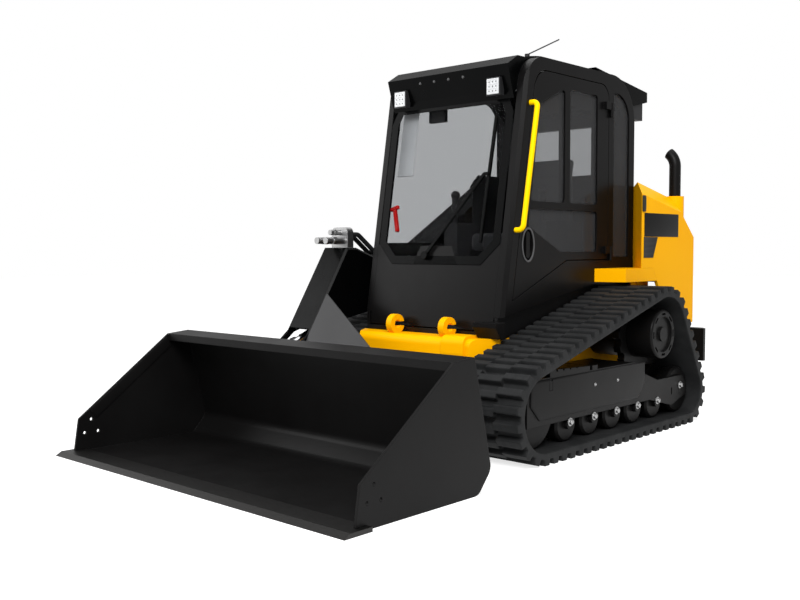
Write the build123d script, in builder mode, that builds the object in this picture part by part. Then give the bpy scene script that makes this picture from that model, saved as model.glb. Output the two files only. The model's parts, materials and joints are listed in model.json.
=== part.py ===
from build123d import *
from math import atan2, cos, hypot, pi, sin, sqrt
import os

# Compact track loader with one loader arm on the right and a side-entry cab.
# Millimetres, -Y forward, +X the machine's left, +Z up, tracks standing on z = 0.
os.makedirs("parts", exist_ok=True)

# Clearances
fit_gap = 0.3
panel_gap = 1
door_gap = 6
eye_gap = 0.3

# Rubber tracks
track_tub_gap = 20
track_width = 450
belt_thickness = 30
lug_height = 32
lug_pitch = 80
lug_base = 50
lug_tip = 38
lug_stagger = 20
front_idler_y = -330
front_idler_radius = 198
sprocket_y = 948
sprocket_z = 577
sprocket_radius = 227
rear_idler_y = 1255
rear_idler_radius = 143
roller_radius = 96
roller_count = 5
first_roller_y = -14
roller_pitch = 242

# Track frames
frame_setback = 70
frame_width = 300
frame_plate = 20
frame_low_z = 186
frame_front_z = 430
frame_top_z = 468
frame_top_fall = 14
frame_rear_z = 430
frame_front_y = -410
frame_step_y = -205
frame_mid_y = 180
frame_web_end_y = 680
frame_scarf_z = 384
frame_tail_y = 954
frame_tail_z = 297
frame_rear_y = 1330
frame_rear_chamfer = 55
frame_foot_y = 1140
frame_foot_z = 120
frame_foot_run = 280
frame_web_z = 390
frame_web_inset = 120
frame_tab_width = 54
frame_tab_height = 46
frame_notch = 14
frame_notches = 6
frame_hole_radius = 16
frame_hole_z = 348
frame_slot_length = 46
frame_slot_width = 14
axle_radius = 26

# Final drives
drum_radius = 148
drum_outer_x = 940
drum_inner_x = 500
drum_recess = 14
drum_slots = 8
drum_slot_length = 46
drum_slot_width = 13
sprocket_disc = 46
sprocket_disc_x = 722
sprocket_teeth = 15
tooth_depth = 30

# Chassis tub
tub_half_width = 500
tub_wall = 20
tub_belly_z = 255
tub_front_y = -125
tub_rear_y = 1790
tub_rear_z = 580
tub_tail_z = 400
tub_step = 60

# Cab
cab_overhang = 30
cab_wall = 60
cab_foot_z = 637
cab_foot_y = -130
cab_lean = 0.165
cab_side_front_z = 710
cab_side_knee_y = 800
cab_side_low_z = 870
cab_rear_y = 1310
cab_top_z = 2180
cab_front_round = 170
cab_rear_round = 280
cab_corner_chamfer = 20
cab_skin = 45
roof_joint_drop = 195
pillar_width = 75
glass_thickness = 8
glass_inset = 20
front_panel_thickness = 45
floor_plate = 32
floor_drop = 35
seat_step_y = 430
seat_deck_z = 960

# Roof, visor and lamps
crown_width = 860
crown_length = 700
crown_round = 90
crown_height = 42
crown_taper = 25
crown_setback = 620
overhang_half = 512
overhang_root = 454
overhang_rise = 26
overhang_reach = 198
overhang_fall = 56
overhang_lip = 64
overhang_heel = 60
overhang_lift = 15
visor_setback = 73
visor_top_drop = 57
visor_low_drop = 195
visor_foot_drop = 245
visor_top_reach = 95
visor_low_reach = 30
lamp_setback = 175
lamp_width = 95
lamp_height = 102
lamp_centre_drop = 175
lamp_face_reach = 72
rear_lamp_side_inset = 55
rear_lamp_width = 50
rear_lamp_length = 145
rear_lamp_height = 80
rear_lamp_setback = 12
antenna_x = 300
antenna_setback = 880
antenna_foot = 30
antenna_rise = 210
antenna_lean = 340
antenna_radius = 4

# Cab door and windows
door_thickness = 45
door_top_drop = 70
door_rear_y = 990
door_low_z = 1020
door_toe_z = 800
door_knee_y = 520
door_rail = 80
door_stile = 135
door_front_round = 130
door_rear_round = 90
door_bar = 56
door_bar_y = 492
door_bar_z = 1320
door_bar_height = 42
door_glass_toe_z = 1220
door_glass_low_z = 1072
door_glass_knee_y = 450
pane_shoulder = 110
pane_round = 24
latch_y = 120
latch_z = 1114
latch_width = 112
latch_height = 186
latch_depth = 16
latch_handle = 34
hinge_low_z = 1060
hinge_top_drop = 180
hinge_offset = 12
knuckle_radius = 10
knuckle_height = 45
leaf_thickness = 8
leaf_length = 80
leaf_foot = 50
quarter_front_y = 1050
quarter_rear_y = 1242
quarter_low_z = 1040
quarter_top_drop = 110
quarter_round = 160
right_window_low_z = 1130
right_window_rear_y = 1240
screen_low_z = 1000
screen_corner_z = 1120
screen_top_drop = 210
screen_post = 68
screen_low_setback = 122
screen_top_setback = 50
screen_shoulder_drop = 320
hump_low_half = 130
hump_top_half = 92
hump_height = 75
rear_window_height = 480
rear_window_top_drop = 280
rear_window_post = 130
rear_window_round = 60

# Seat, consoles and grab bar
seat_y = 750
seat_width = 490
seat_length = 480
seat_base_width = 440
seat_base_length = 420
seat_base_height = 120
cushion_thickness = 110
cushion_round = 32
back_thickness = 120
back_height = 630
console_setback = 190
console_y = 700
console_width = 110
console_length = 420
console_height = 300
lever_y = 540
lever_radius = 12
lever_height = 90
grip_radius = 24
grip_height = 90
knob_radius = 30
grab_low_z = 1196
grab_top_drop = 200
grab_low_setback = 37
grab_top_setback = 56
grab_stand = 50
grab_bend = 30
grab_radius = 15

# Wiper on the windscreen
wiper_pivot_x = -66
wiper_elbow_x = 316
wiper_elbow_drop = 667
wiper_blade_low_x = 328
wiper_blade_low_z = 1135
wiper_blade_top_x = 351
wiper_blade_top_drop = 345
wiper_arm_width = 18
wiper_arm_thickness = 12
wiper_pivot_radius = 24
wiper_pivot_height = 32
wiper_stand = 14

# Rear body
hood_skin = 22
hood_front_y = 1070
hood_rear_y = 1790
hood_front_top_z = 1540
hood_rear_top_z = 1400
hood_front_low_z = 968
hood_notch_y = 1226
hood_notch_depth = 110
hood_notch_run = 70
hood_rear_low_z = 590
hood_heel_y = 1470
hood_chamfer = 105
hood_tail_length = 140
hood_tail_drop = 95
grille_front_y = 1360
grille_length = 240
grille_half = 330
grille_bar = 16
grille_bars = 8
grille_depth = 14
rear_door_thickness = 30
rear_door_top_z = 1200
rear_door_low_z = 610
rear_door_margin = 40
rear_slot_pitch = 250
rear_slot_rise = 62
rear_slot_columns = 4
rear_slot_rows = 7
rear_slot_length = 210
rear_slot_height = 30
bumper_half_width = 800
bumper_depth = 90
bumper_chamfer = 60
bumper_low_z = 330
bumper_top_z = 550
bumper_slot_x = 690
fender_width = 190
fender_right_width = 65
fender_front_y = 833
fender_front_facet = 47
fender_low_z = 885

# Loader arm
tower_hood_gap = 15
boom_width = 215
boom_plate = 18
boom_bevel = 13
boom_pivot_y = 1490
boom_pivot_z = 1500
boom_pivot_boss = 112
pivot_pin_radius = 40
knee_y = -160
knee_z = 1100
knee_flat = 90
saddle_y = 90
saddle_z = 1045
arm_break_y = 560
arm_break_z = 1085
leg_end_y = -490
leg_end_z = 575
leg_web_z = 612
coupler_block = 52
block_half = 72
block_height = 128
coupler_spread = 40
coupler_radius = 21
coupler_low_rise = 44
coupler_top_rise = 96
coupler_reach = 160
coupler_top_reach = 85
hose_radius = 15
hose_spread = 32
hose_rise = 84
hose_bend = 80
clamp_length = 60
tower_gap = 10
tower_plate = 20
tower_front_run = 160
tower_rear_run = 250
tower_low_run = 40
tower_head = 116
tower_shoulder_z = 905
tower_rear_z = 700
tower_low_z = 490
tower_beam = 90
tube_y = -690
tube_z = 340
tube_radius = 80
left_ear_x = 420

# Hitch, bucket and cylinder pins
hitch_pin_y = -860
hitch_pin_z = 220
hitch_pin_radius = 25
hitch_boss = 58
tilt_lever_y = 25
tilt_lever_z = 155
tilt_base_y = 60
tilt_base_z = 775
tilt_barrel_radius = 44
tilt_rod_radius = 24
tilt_barrel_length = 440
lift_base_y = 1450
lift_base_z = 1130
lift_eye_y = 350
lift_eye_z = 950
lift_barrel_radius = 52
lift_rod_radius = 28
lift_barrel_length = 830
eye_radius = 46
eye_width = 60
cylinder_pin_radius = 22

# Bucket
overall_length = 3760
bucket_half_width = 1071
bucket_plate = 13
edge_half_width = 1100
edge_depth = 154
edge_thickness = 20
bucket_heel_y = -1024
bucket_back_y = -930
bucket_back_z = 104
bucket_top_y = -1052
bucket_top_z = 620
bucket_cheek_y = -1193
bucket_cheek_z = 608
bucket_knee_setback = 116
bucket_knee_z = 186
bucket_heel_round = 60
lip_fold = 40
cheek_toe = 64
cutter_hole_radius = 9
cutter_hole_circle = 92
cutter_hole_setback = 190
cutter_hole_z = 130

# Places worked out from the dimensions above
edge_front_y = -overall_length / 2
edge_rear_y = edge_front_y + edge_depth
bucket_knee_y = edge_front_y + bucket_knee_setback
cutter_hole_y = edge_front_y + cutter_hole_setback
roof_joint_z = cab_top_z - roof_joint_drop
door_top_z = cab_top_z - door_top_drop
quarter_top_z = cab_top_z - quarter_top_drop
screen_top_z = cab_top_z - screen_top_drop
screen_shoulder_z = cab_top_z - screen_shoulder_drop
hump_top_z = screen_low_z + hump_height
rear_window_top_z = cab_top_z - rear_window_top_drop
rear_window_low_z = rear_window_top_z - rear_window_height
hinge_zs = (hinge_low_z, cab_top_z - hinge_top_drop - knuckle_height)
crown_top_z = cab_top_z + crown_height
fender_top_z = hood_front_low_z - fit_gap
shoe_height = belt_thickness + lug_height
front_idler_z = front_idler_radius + shoe_height
rear_idler_z = rear_idler_radius + shoe_height
roller_z = roller_radius + shoe_height
cab_half_width = tub_half_width + cab_overhang
rear_window_half = cab_half_width - rear_window_post
screen_half_width = cab_half_width - screen_post
screen_low_half = screen_half_width - screen_low_setback
screen_top_half = screen_half_width - screen_top_setback
visor_half = cab_half_width - visor_setback
lamp_x = cab_half_width - lamp_setback
rear_lamp_x = cab_half_width - rear_lamp_side_inset
console_x = cab_half_width - console_setback
hood_left_x = cab_half_width + fender_width
hood_right_x = -cab_half_width - fender_right_width
track_inner_x = tub_half_width + track_tub_gap
track_outer_x = track_inner_x + track_width
frame_outer_x = track_outer_x - frame_setback
frame_inner_x = frame_outer_x - frame_width
boom_inner_x = hood_right_x - tower_hood_gap - tower_plate - tower_gap
boom_outer_x = boom_inner_x - boom_width
boom_mid_x = boom_outer_x + boom_width / 2
hitch_pin = (hitch_pin_y, hitch_pin_z)
tilt_pin = (hitch_pin_y + tilt_lever_y, hitch_pin_z + tilt_lever_z)
cab_inner_x = cab_half_width - cab_wall
hinge_x = cab_half_width + hinge_offset
hinge_y = door_rear_y + hinge_offset


def cab_front_y(z):
    return cab_foot_y + (z - cab_foot_z) * cab_lean


screen_slope = sqrt(1 + cab_lean ** 2)
screen_plane = Plane(
    origin=(0, cab_foot_y, cab_foot_z), x_dir=(1, 0, 0), z_dir=(0, -1, cab_lean)
)


def up_screen(z):
    return (z - cab_foot_z) * screen_slope


def finish(builder, name):
    builder.part.label = name
    export_step(builder.part, f"parts/{name}.step")


# Track loop: three circles joined by their outer tangents
track_wheels = [
    (front_idler_y, front_idler_z, front_idler_radius),
    (rear_idler_y, rear_idler_z, rear_idler_radius),
    (sprocket_y, sprocket_z, sprocket_radius),
]


def loop_spans(depth):
    """Straight runs and bends of the loop at a depth outside the wheels."""
    tangents = []
    for index, (y1, z1, r1) in enumerate(track_wheels):
        y2, z2, r2 = track_wheels[(index + 1) % len(track_wheels)]
        distance = hypot(y2 - y1, z2 - z1)
        along = ((y2 - y1) / distance, (z2 - z1) / distance)
        lean = (r1 - r2) / distance
        side = sqrt(1 - lean ** 2)
        normal = (lean * along[0] + side * along[1], lean * along[1] - side * along[0])
        start = (y1 + (r1 + depth) * normal[0], z1 + (r1 + depth) * normal[1])
        end = (y2 + (r2 + depth) * normal[0], z2 + (r2 + depth) * normal[1])
        tangents.append((start, end, normal))
    spans = []
    for index, (start, end, normal) in enumerate(tangents):
        y2, z2, r2 = track_wheels[(index + 1) % len(track_wheels)]
        next_normal = tangents[(index + 1) % len(tangents)][2]
        turn_start = atan2(normal[1], normal[0])
        turn = (atan2(next_normal[1], next_normal[0]) - turn_start) % (2 * pi)
        spans.append(("run", hypot(end[0] - start[0], end[1] - start[1]), start, end, normal))
        spans.append(("bend", turn * (r2 + depth), (y2, z2), r2 + depth, turn_start))
    return spans


def loop_point(spans, distance):
    """Point and outward normal at a distance along the loop."""
    distance = distance % sum(span[1] for span in spans)
    for kind, length, first, second, third in spans:
        if distance <= length:
            break
        distance -= length
    if kind == "run":
        share = distance / length
        point = tuple(a + (b - a) * share for a, b in zip(first, second))
        return point, third
    angle = third + distance / second
    normal = (cos(angle), sin(angle))
    return (first[0] + second * normal[0], first[1] + second * normal[1]), normal


def shoe_outline(shift):
    """Outline of the belt with its lugs, shifted along the loop."""
    spans = loop_spans(belt_thickness)
    length = sum(span[1] for span in spans)
    count = round(length / lug_pitch)
    points = []
    for index in range(count):
        centre = index * length / count + shift
        middle, normal = loop_point(spans, centre)
        tangent = (-normal[1], normal[0])
        points.append(loop_point(spans, centre - lug_base / 2)[0])
        for end in (-lug_tip / 2, lug_tip / 2):
            points.append(tuple(
                m + lug_height * n + end * t for m, n, t in zip(middle, normal, tangent)
            ))
        points.append(loop_point(spans, centre + lug_base / 2)[0])
    return points


with BuildPart() as track_left:
    for zone, shift in enumerate((0, lug_stagger, 0)):
        with BuildSketch(Plane.YZ.offset(track_inner_x + zone * track_width / 3)):
            with BuildLine():
                Polyline(*shoe_outline(shift), close=True)
            make_face()
        extrude(amount=track_width / 3)
    with BuildSketch(Plane.YZ.offset(track_inner_x)):
        for y, z, radius in track_wheels:
            with Locations((y, z)):
                Circle(radius)
        make_hull()
    extrude(amount=track_width, mode=Mode.SUBTRACT)

# Track frame: two plates joined by a web, open below for the rollers
roller_ys = [first_roller_y + index * roller_pitch for index in range(roller_count)]
axle_places = [(y, roller_z) for y in roller_ys]
axle_places += [(front_idler_y, front_idler_z), (rear_idler_y, rear_idler_z)]
with BuildPart() as track_frame_left:
    with BuildSketch(Plane.YZ.offset(frame_inner_x)):
        Polygon(
            (frame_front_y, frame_low_z),
            (frame_front_y, frame_front_z),
            (frame_step_y, frame_front_z),
            (frame_step_y, frame_top_z),
            (frame_mid_y, frame_top_z - frame_top_fall),
            (frame_mid_y, frame_rear_z),
            (frame_web_end_y, frame_rear_z),
            (frame_web_end_y + frame_notch, frame_scarf_z),
            (frame_tail_y, frame_tail_z),
            (frame_rear_y - frame_rear_chamfer, frame_tail_z),
            (frame_rear_y, frame_tail_z - frame_rear_chamfer),
            (frame_rear_y, frame_low_z - frame_notch),
            (frame_foot_y, frame_foot_z),
            (frame_foot_y - frame_foot_run, frame_low_z),
        )
        with Locations((frame_mid_y + frame_tab_width, frame_rear_z)):
            Rectangle(frame_tab_width, frame_tab_height, align=(Align.CENTER, Align.CENTER))
        with Locations(((frame_step_y + frame_mid_y) / 2, frame_top_z - frame_top_fall / 2)):
            with GridLocations((frame_mid_y - frame_step_y) / frame_notches, 0, frame_notches - 1, 1):
                Rectangle(frame_notch, frame_notch, mode=Mode.SUBTRACT)
        with Locations(*axle_places):
            Circle(axle_radius + fit_gap, mode=Mode.SUBTRACT)
        for y in roller_ys[1:3]:
            with Locations((y, frame_hole_z)):
                Circle(frame_hole_radius, mode=Mode.SUBTRACT)
        with Locations((frame_foot_y, (frame_foot_z + frame_tail_z) / 2)):
            SlotOverall(frame_slot_length, frame_slot_width, rotation=90, mode=Mode.SUBTRACT)
    extrude(amount=frame_width)
    with BuildSketch(Plane.YZ.offset(frame_inner_x + frame_plate)):
        Polygon(
            (frame_front_y - 1, frame_foot_z - 1),
            (frame_front_y - 1, frame_top_z + frame_tab_height),
            (frame_step_y + frame_web_inset, frame_top_z + frame_tab_height),
            (frame_step_y + frame_web_inset, frame_web_z),
            (frame_web_end_y - frame_plate, frame_web_z),
            (frame_web_end_y - frame_plate, frame_top_z + frame_tab_height),
            (frame_rear_y + 1, frame_top_z + frame_tab_height),
            (frame_rear_y + 1, frame_foot_z - 1),
        )
    extrude(amount=frame_width - 2 * frame_plate, mode=Mode.SUBTRACT)
    # Two beams that carry the frame on the chassis tub
    for y in (first_roller_y + roller_pitch * 0.5, first_roller_y + roller_pitch * 2.5):
        with BuildSketch(Plane.YZ.offset(tub_half_width)):
            with Locations((y, frame_web_z - 40)):
                RectangleRounded(120, 70, 12)
        extrude(amount=frame_inner_x - tub_half_width)

def wheel_profile(radius, waist):
    """Half section of a wheel on its axle, with a waist for the track's guides."""
    flank = frame_plate + 4
    rim = frame_plate + 90
    half = [
        (0, 0),
        (0, axle_radius),
        (flank, axle_radius),
        (flank, radius - 12),
        (flank + 12, radius - fit_gap),
        (rim, radius - fit_gap),
        (rim + 14, radius - waist),
    ]
    return half + [(frame_width - x, r) for x, r in reversed(half)]


def wheel_plane(y, z):
    return Plane(origin=(frame_inner_x, y, z), x_dir=(1, 0, 0), z_dir=(0, -1, 0))


with BuildPart() as rollers_left:
    for y in roller_ys:
        with BuildSketch(wheel_plane(y, roller_z)):
            Polygon(*wheel_profile(roller_radius, 30))
        revolve(axis=Axis((frame_inner_x, y, roller_z), (1, 0, 0)))

with BuildPart() as idlers_left:
    for y, z, radius in track_wheels[:2]:
        with BuildSketch(wheel_plane(y, z)):
            Polygon(*wheel_profile(radius, 38))
        revolve(axis=Axis((frame_inner_x, y, z), (1, 0, 0)))

with BuildPart() as sprocket_left:
    with BuildSketch(Plane.YZ.offset(sprocket_disc_x)):
        with Locations((sprocket_y, sprocket_z)):
            Circle(sprocket_radius - fit_gap)
            with PolarLocations(sprocket_radius + tooth_depth * 0.2, sprocket_teeth):
                Circle(tooth_depth, mode=Mode.SUBTRACT)
            Circle(drum_radius + fit_gap, mode=Mode.SUBTRACT)
    extrude(amount=sprocket_disc)

with BuildPart() as final_drive_left:
    with BuildSketch(Plane.YZ.offset(drum_inner_x)):
        with Locations((sprocket_y, sprocket_z)):
            Circle(drum_radius)
    extrude(amount=drum_outer_x - drum_inner_x)
    fillet(final_drive_left.faces().sort_by(Axis.X)[-1].edges(), 14)
    with BuildSketch(Plane.YZ.offset(drum_outer_x)):
        with Locations((sprocket_y, sprocket_z)):
            Circle(drum_radius * 0.72)
            Circle(drum_radius * 0.3, mode=Mode.SUBTRACT)
            with PolarLocations(drum_radius * 0.82, drum_slots):
                SlotOverall(drum_slot_length, drum_slot_width, rotation=90)
    extrude(amount=-drum_recess, mode=Mode.SUBTRACT)
    with BuildSketch(Plane.YZ.offset(sprocket_disc_x - 24)):
        with Locations((sprocket_y, sprocket_z)):
            Circle(drum_radius + 26)
    extrude(amount=24 - fit_gap)

left_sides = {
    "track": track_left,
    "track_frame": track_frame_left,
    "track_rollers": rollers_left,
    "track_idlers": idlers_left,
    "drive_sprocket": sprocket_left,
    "final_drive": final_drive_left,
}
for piece, builder in left_sides.items():
    with BuildPart() as other_side:
        mirror(builder.part, about=Plane.YZ)
    finish(builder, f"{piece}_left")
    finish(other_side, f"{piece}_right")

# Chassis tub between the tracks, open on top
sill_slope = (cab_side_low_z - cab_side_front_z) / (cab_side_knee_y - cab_front_y(cab_side_front_z))
tub_outline = [
    (tub_front_y, tub_belly_z + 90),
    (tub_front_y, cab_side_low_z - sill_slope * (cab_side_knee_y - tub_front_y)),
    (cab_side_knee_y, cab_side_low_z),
    (cab_rear_y, cab_side_low_z),
    (cab_rear_y + tub_step, tub_rear_z),
    (tub_rear_y, tub_rear_z),
    (tub_rear_y, tub_tail_z),
    (tub_rear_y - 240, tub_belly_z),
    (tub_front_y + 130, tub_belly_z),
]
with BuildPart() as chassis_tub:
    with BuildSketch(Plane.YZ.offset(-tub_half_width)):
        Polygon(*tub_outline)
    extrude(amount=2 * tub_half_width)
    with BuildSketch(Plane.YZ.offset(-tub_half_width + tub_wall)):
        Polygon(
            (tub_front_y + tub_wall, tub_belly_z + 90 + tub_wall),
            (tub_front_y + tub_wall, cab_side_low_z + 1),
            (tub_rear_y - tub_wall, cab_side_low_z + 1),
            (tub_rear_y - tub_wall, tub_tail_z + tub_wall),
            (tub_rear_y - 240, tub_belly_z + tub_wall),
            (tub_front_y + 130, tub_belly_z + tub_wall),
        )
    extrude(amount=2 * (tub_half_width - tub_wall), mode=Mode.SUBTRACT)
    # The front wall ends under the cab's front panel
    with BuildSketch(Plane.YZ.offset(-tub_half_width + tub_wall)):
        with Locations((tub_front_y, cab_foot_z - front_panel_thickness * cab_lean)):
            Rectangle(2 * tub_wall + 2, cab_side_low_z - cab_foot_z, align=(Align.CENTER, Align.MIN))
    extrude(amount=2 * (tub_half_width - tub_wall), mode=Mode.SUBTRACT)
finish(chassis_tub, "chassis_tub")

# Front cross-member with two hooks
member_half = 420
member_front_y = -275
member_low_z = 490
member_top_z = 600
member_round = 45
hook_x = 200
hook_y = -195
hook_height = 100
hook_root = 8
hook_eye = 24
hook_mouth = 26
hook_thickness = 42
sleeve_start_x = 230
sleeve_length = 160
sleeve_thickness = 14
step_inner_x = 400
step_width = 160
step_top_z = 690
step_depth = 86
step_leg = 40
step_plate = 26
step_tread = 12
with BuildPart() as front_member:
    with BuildSketch(Plane.XY.offset(member_low_z)):
        Polygon(
            (-member_half - 100, tub_front_y),
            (-member_half, member_front_y),
            (member_half, member_front_y),
            (member_half + 100, tub_front_y),
        )
    extrude(amount=member_top_z - member_low_z)
    fillet(front_member.edges().filter_by(Axis.X).group_by(Axis.Y)[0].sort_by(Axis.Z)[-1], member_round)
    for x in (-hook_x, hook_x):
        with BuildSketch(Plane.YZ.offset(x - hook_thickness / 2)):
            with Locations((hook_y, member_top_z + hook_height / 2)):
                Circle(hook_height / 2 + hook_root)
                Circle(hook_eye, mode=Mode.SUBTRACT)
                Rectangle(hook_height, hook_mouth, align=(Align.MIN, Align.CENTER), mode=Mode.SUBTRACT)
        extrude(amount=hook_thickness)
    # Sleeve around the left half of the bar
    with BuildSketch(Plane.YZ.offset(sleeve_start_x)):
        with Locations(((member_front_y + tub_front_y) / 2, (member_low_z + member_top_z) / 2)):
            RectangleRounded(
                tub_front_y - member_front_y + 2 * sleeve_thickness,
                member_top_z - member_low_z + 2 * sleeve_thickness,
                member_round,
            )
    extrude(amount=sleeve_length)
    with BuildSketch(Plane.XZ.offset(-tub_front_y)):
        with Locations((sleeve_start_x + sleeve_length / 2, member_low_z)):
            Rectangle(sleeve_length + 2, 2 * member_top_z)
    extrude(amount=-2 * sleeve_thickness, mode=Mode.SUBTRACT)
finish(front_member, "front_crossmember")

# Step below the door, on the cross-member
with BuildPart() as step:
    with BuildSketch(Plane.YZ.offset(step_inner_x)):
        Polygon(
            (cab_foot_y - fit_gap, step_top_z),
            (cab_foot_y - step_depth, step_top_z),
            (cab_foot_y - step_depth, step_top_z - step_plate),
            (cab_foot_y - step_leg, member_top_z + fit_gap),
            (cab_foot_y - fit_gap, member_top_z + fit_gap),
        )
    extrude(amount=step_width)
    with BuildSketch(Plane.XY.offset(step_top_z)):
        with Locations((step_inner_x + step_width / 2, cab_foot_y - step_depth / 2)):
            with GridLocations(step_width / 4, step_depth / 2, 4, 2):
                SlotOverall(step_width / 6, step_tread)
    extrude(amount=-step_tread / 2, mode=Mode.SUBTRACT)
finish(step, "cab_step")

# Rear bumper with a drawpin clevis
with BuildPart() as bumper:
    with BuildSketch(Plane.XY.offset(bumper_low_z)):
        Polygon(
            (-bumper_half_width, tub_rear_y),
            (-bumper_half_width, tub_rear_y + bumper_depth - bumper_chamfer),
            (-bumper_half_width + bumper_chamfer, tub_rear_y + bumper_depth),
            (bumper_half_width - bumper_chamfer, tub_rear_y + bumper_depth),
            (bumper_half_width, tub_rear_y + bumper_depth - bumper_chamfer),
            (bumper_half_width, tub_rear_y),
        )
    extrude(amount=bumper_top_z - bumper_low_z)
    chamfer(bumper.faces().sort_by(Axis.Y)[-1].edges().filter_by(Axis.X), bumper_chamfer / 3)
    with BuildSketch(Plane.XZ.offset(-tub_rear_y - bumper_depth)):
        for x in (-bumper_slot_x, bumper_slot_x):
            with Locations((x, (bumper_low_z + bumper_top_z) / 2)):
                SlotOverall(bumper_top_z - bumper_low_z - bumper_chamfer, bumper_chamfer / 2, rotation=90)
    extrude(amount=bumper_depth / 3, mode=Mode.SUBTRACT)
    with Locations((0, tub_rear_y + bumper_depth - 35, (bumper_low_z + bumper_top_z) / 2)):
        Box(180, 90, 70, mode=Mode.SUBTRACT)
    with Locations((0, tub_rear_y + bumper_depth - 45, (bumper_low_z + bumper_top_z) / 2)):
        Cylinder(16, bumper_top_z - bumper_low_z + 2, mode=Mode.SUBTRACT)
finish(bumper, "rear_bumper")

# Fenders beside the cab, under the front of the hood
hood_notch_slope = hood_notch_run / hood_notch_depth
fender_rear_y = hood_notch_y - panel_gap
fender_foot_y = fender_rear_y + (fender_top_z - fender_low_z) * hood_notch_slope


def fender(side, width):
    """Fender on one side of the cab, its front corner drawn back."""
    with BuildPart() as wing:
        with BuildSketch(Plane.XY.offset(fender_low_z)):
            Polygon(
                (side * cab_half_width, fender_front_y),
                (side * (cab_half_width + width), fender_front_y + fender_front_facet),
                (side * (cab_half_width + width), fender_foot_y),
                (side * cab_half_width, fender_foot_y),
            )
        extrude(amount=fender_top_z - fender_low_z)
        with BuildSketch(Plane.YZ.offset(-cab_half_width - fender_width)):
            Polygon(
                (fender_rear_y, fender_top_z),
                (fender_foot_y, fender_low_z),
                (fender_foot_y, fender_top_z),
            )
        extrude(amount=2 * (cab_half_width + fender_width), mode=Mode.SUBTRACT)
    return wing


fender_left = fender(1, fender_width)
finish(fender_left, "fender_left")
fender_right = fender(-1, fender_right_width)
finish(fender_right, "fender_right")

# Engine hood around the cab's rear corners, open below and behind
rear_hinge_x = hood_left_x - rear_door_margin + hinge_offset
rear_hinge_y = hood_rear_y + hinge_offset
rear_hinge_zs = (760, 1120)
hood_fall = (hood_front_top_z - hood_rear_top_z) / (hood_rear_y - hood_front_y)
hood_width = hood_left_x - hood_right_x
hood_base_z = hood_rear_low_z - hood_skin
exhaust_inset = 90
exhaust_x = hood_left_x - exhaust_inset
exhaust_y = 1685
exhaust_radius = 38
exhaust_collar = 22
exhaust_collar_depth = 190
exhaust_base_z = 1440
exhaust_rise = 200
exhaust_bend = 90
exhaust_wall = 4
vent_front_y = 1100
vent_low_z = 1033
vent_height = 130
vent_low_length = 120
vent_top_length = 178
vent_depth = 12
vent_slats = 4
slat_height = 12


def hood_top_z(y):
    return hood_front_top_z - hood_fall * (y - hood_front_y)


hood_tail_y = hood_rear_y - hood_tail_length
hood_upper = [
    (hood_front_y, hood_front_top_z),
    (hood_tail_y, hood_top_z(hood_tail_y)),
    (hood_rear_y, hood_rear_top_z - hood_tail_drop),
]
hood_lower = [
    (hood_rear_y, hood_rear_low_z),
    (hood_heel_y, hood_rear_low_z),
    (hood_notch_y + hood_notch_run, hood_front_low_z - hood_notch_depth),
    (hood_notch_y, hood_front_low_z),
    (hood_front_y, hood_front_low_z),
]
# Seen from above, the hood's front runs slantwise from the cab's rear corners to its own front corners
hood_plan = [
    (hood_left_x, hood_front_y),
    (hood_left_x, hood_rear_y),
    (hood_right_x, hood_rear_y),
    (hood_right_x, hood_front_y),
    (-cab_half_width - fit_gap, cab_rear_y + fit_gap),
    (cab_half_width + fit_gap, cab_rear_y + fit_gap),
]


def hood_block(inset):
    """Hood as a full block, its walls and top drawn in by an inset."""
    with BuildPart() as block:
        with BuildSketch(Plane.YZ.offset(hood_right_x)):
            Polygon((hood_front_y, hood_base_z - inset), *hood_upper, (hood_rear_y, hood_base_z - inset))
            if inset:
                offset(amount=-inset)
        extrude(amount=hood_width)
        shoulder = block.edges().filter_by(
            lambda e: abs(e.center().X - hood_left_x) < 1 and e.center().Z > rear_door_top_z
        )
        chamfer(shoulder, hood_chamfer)
        with BuildSketch(Plane.XY.offset(hood_base_z - inset)):
            Polygon(*hood_plan)
            if inset:
                offset(amount=-inset)
        extrude(amount=hood_front_top_z, mode=Mode.INTERSECT)
    return block


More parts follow.
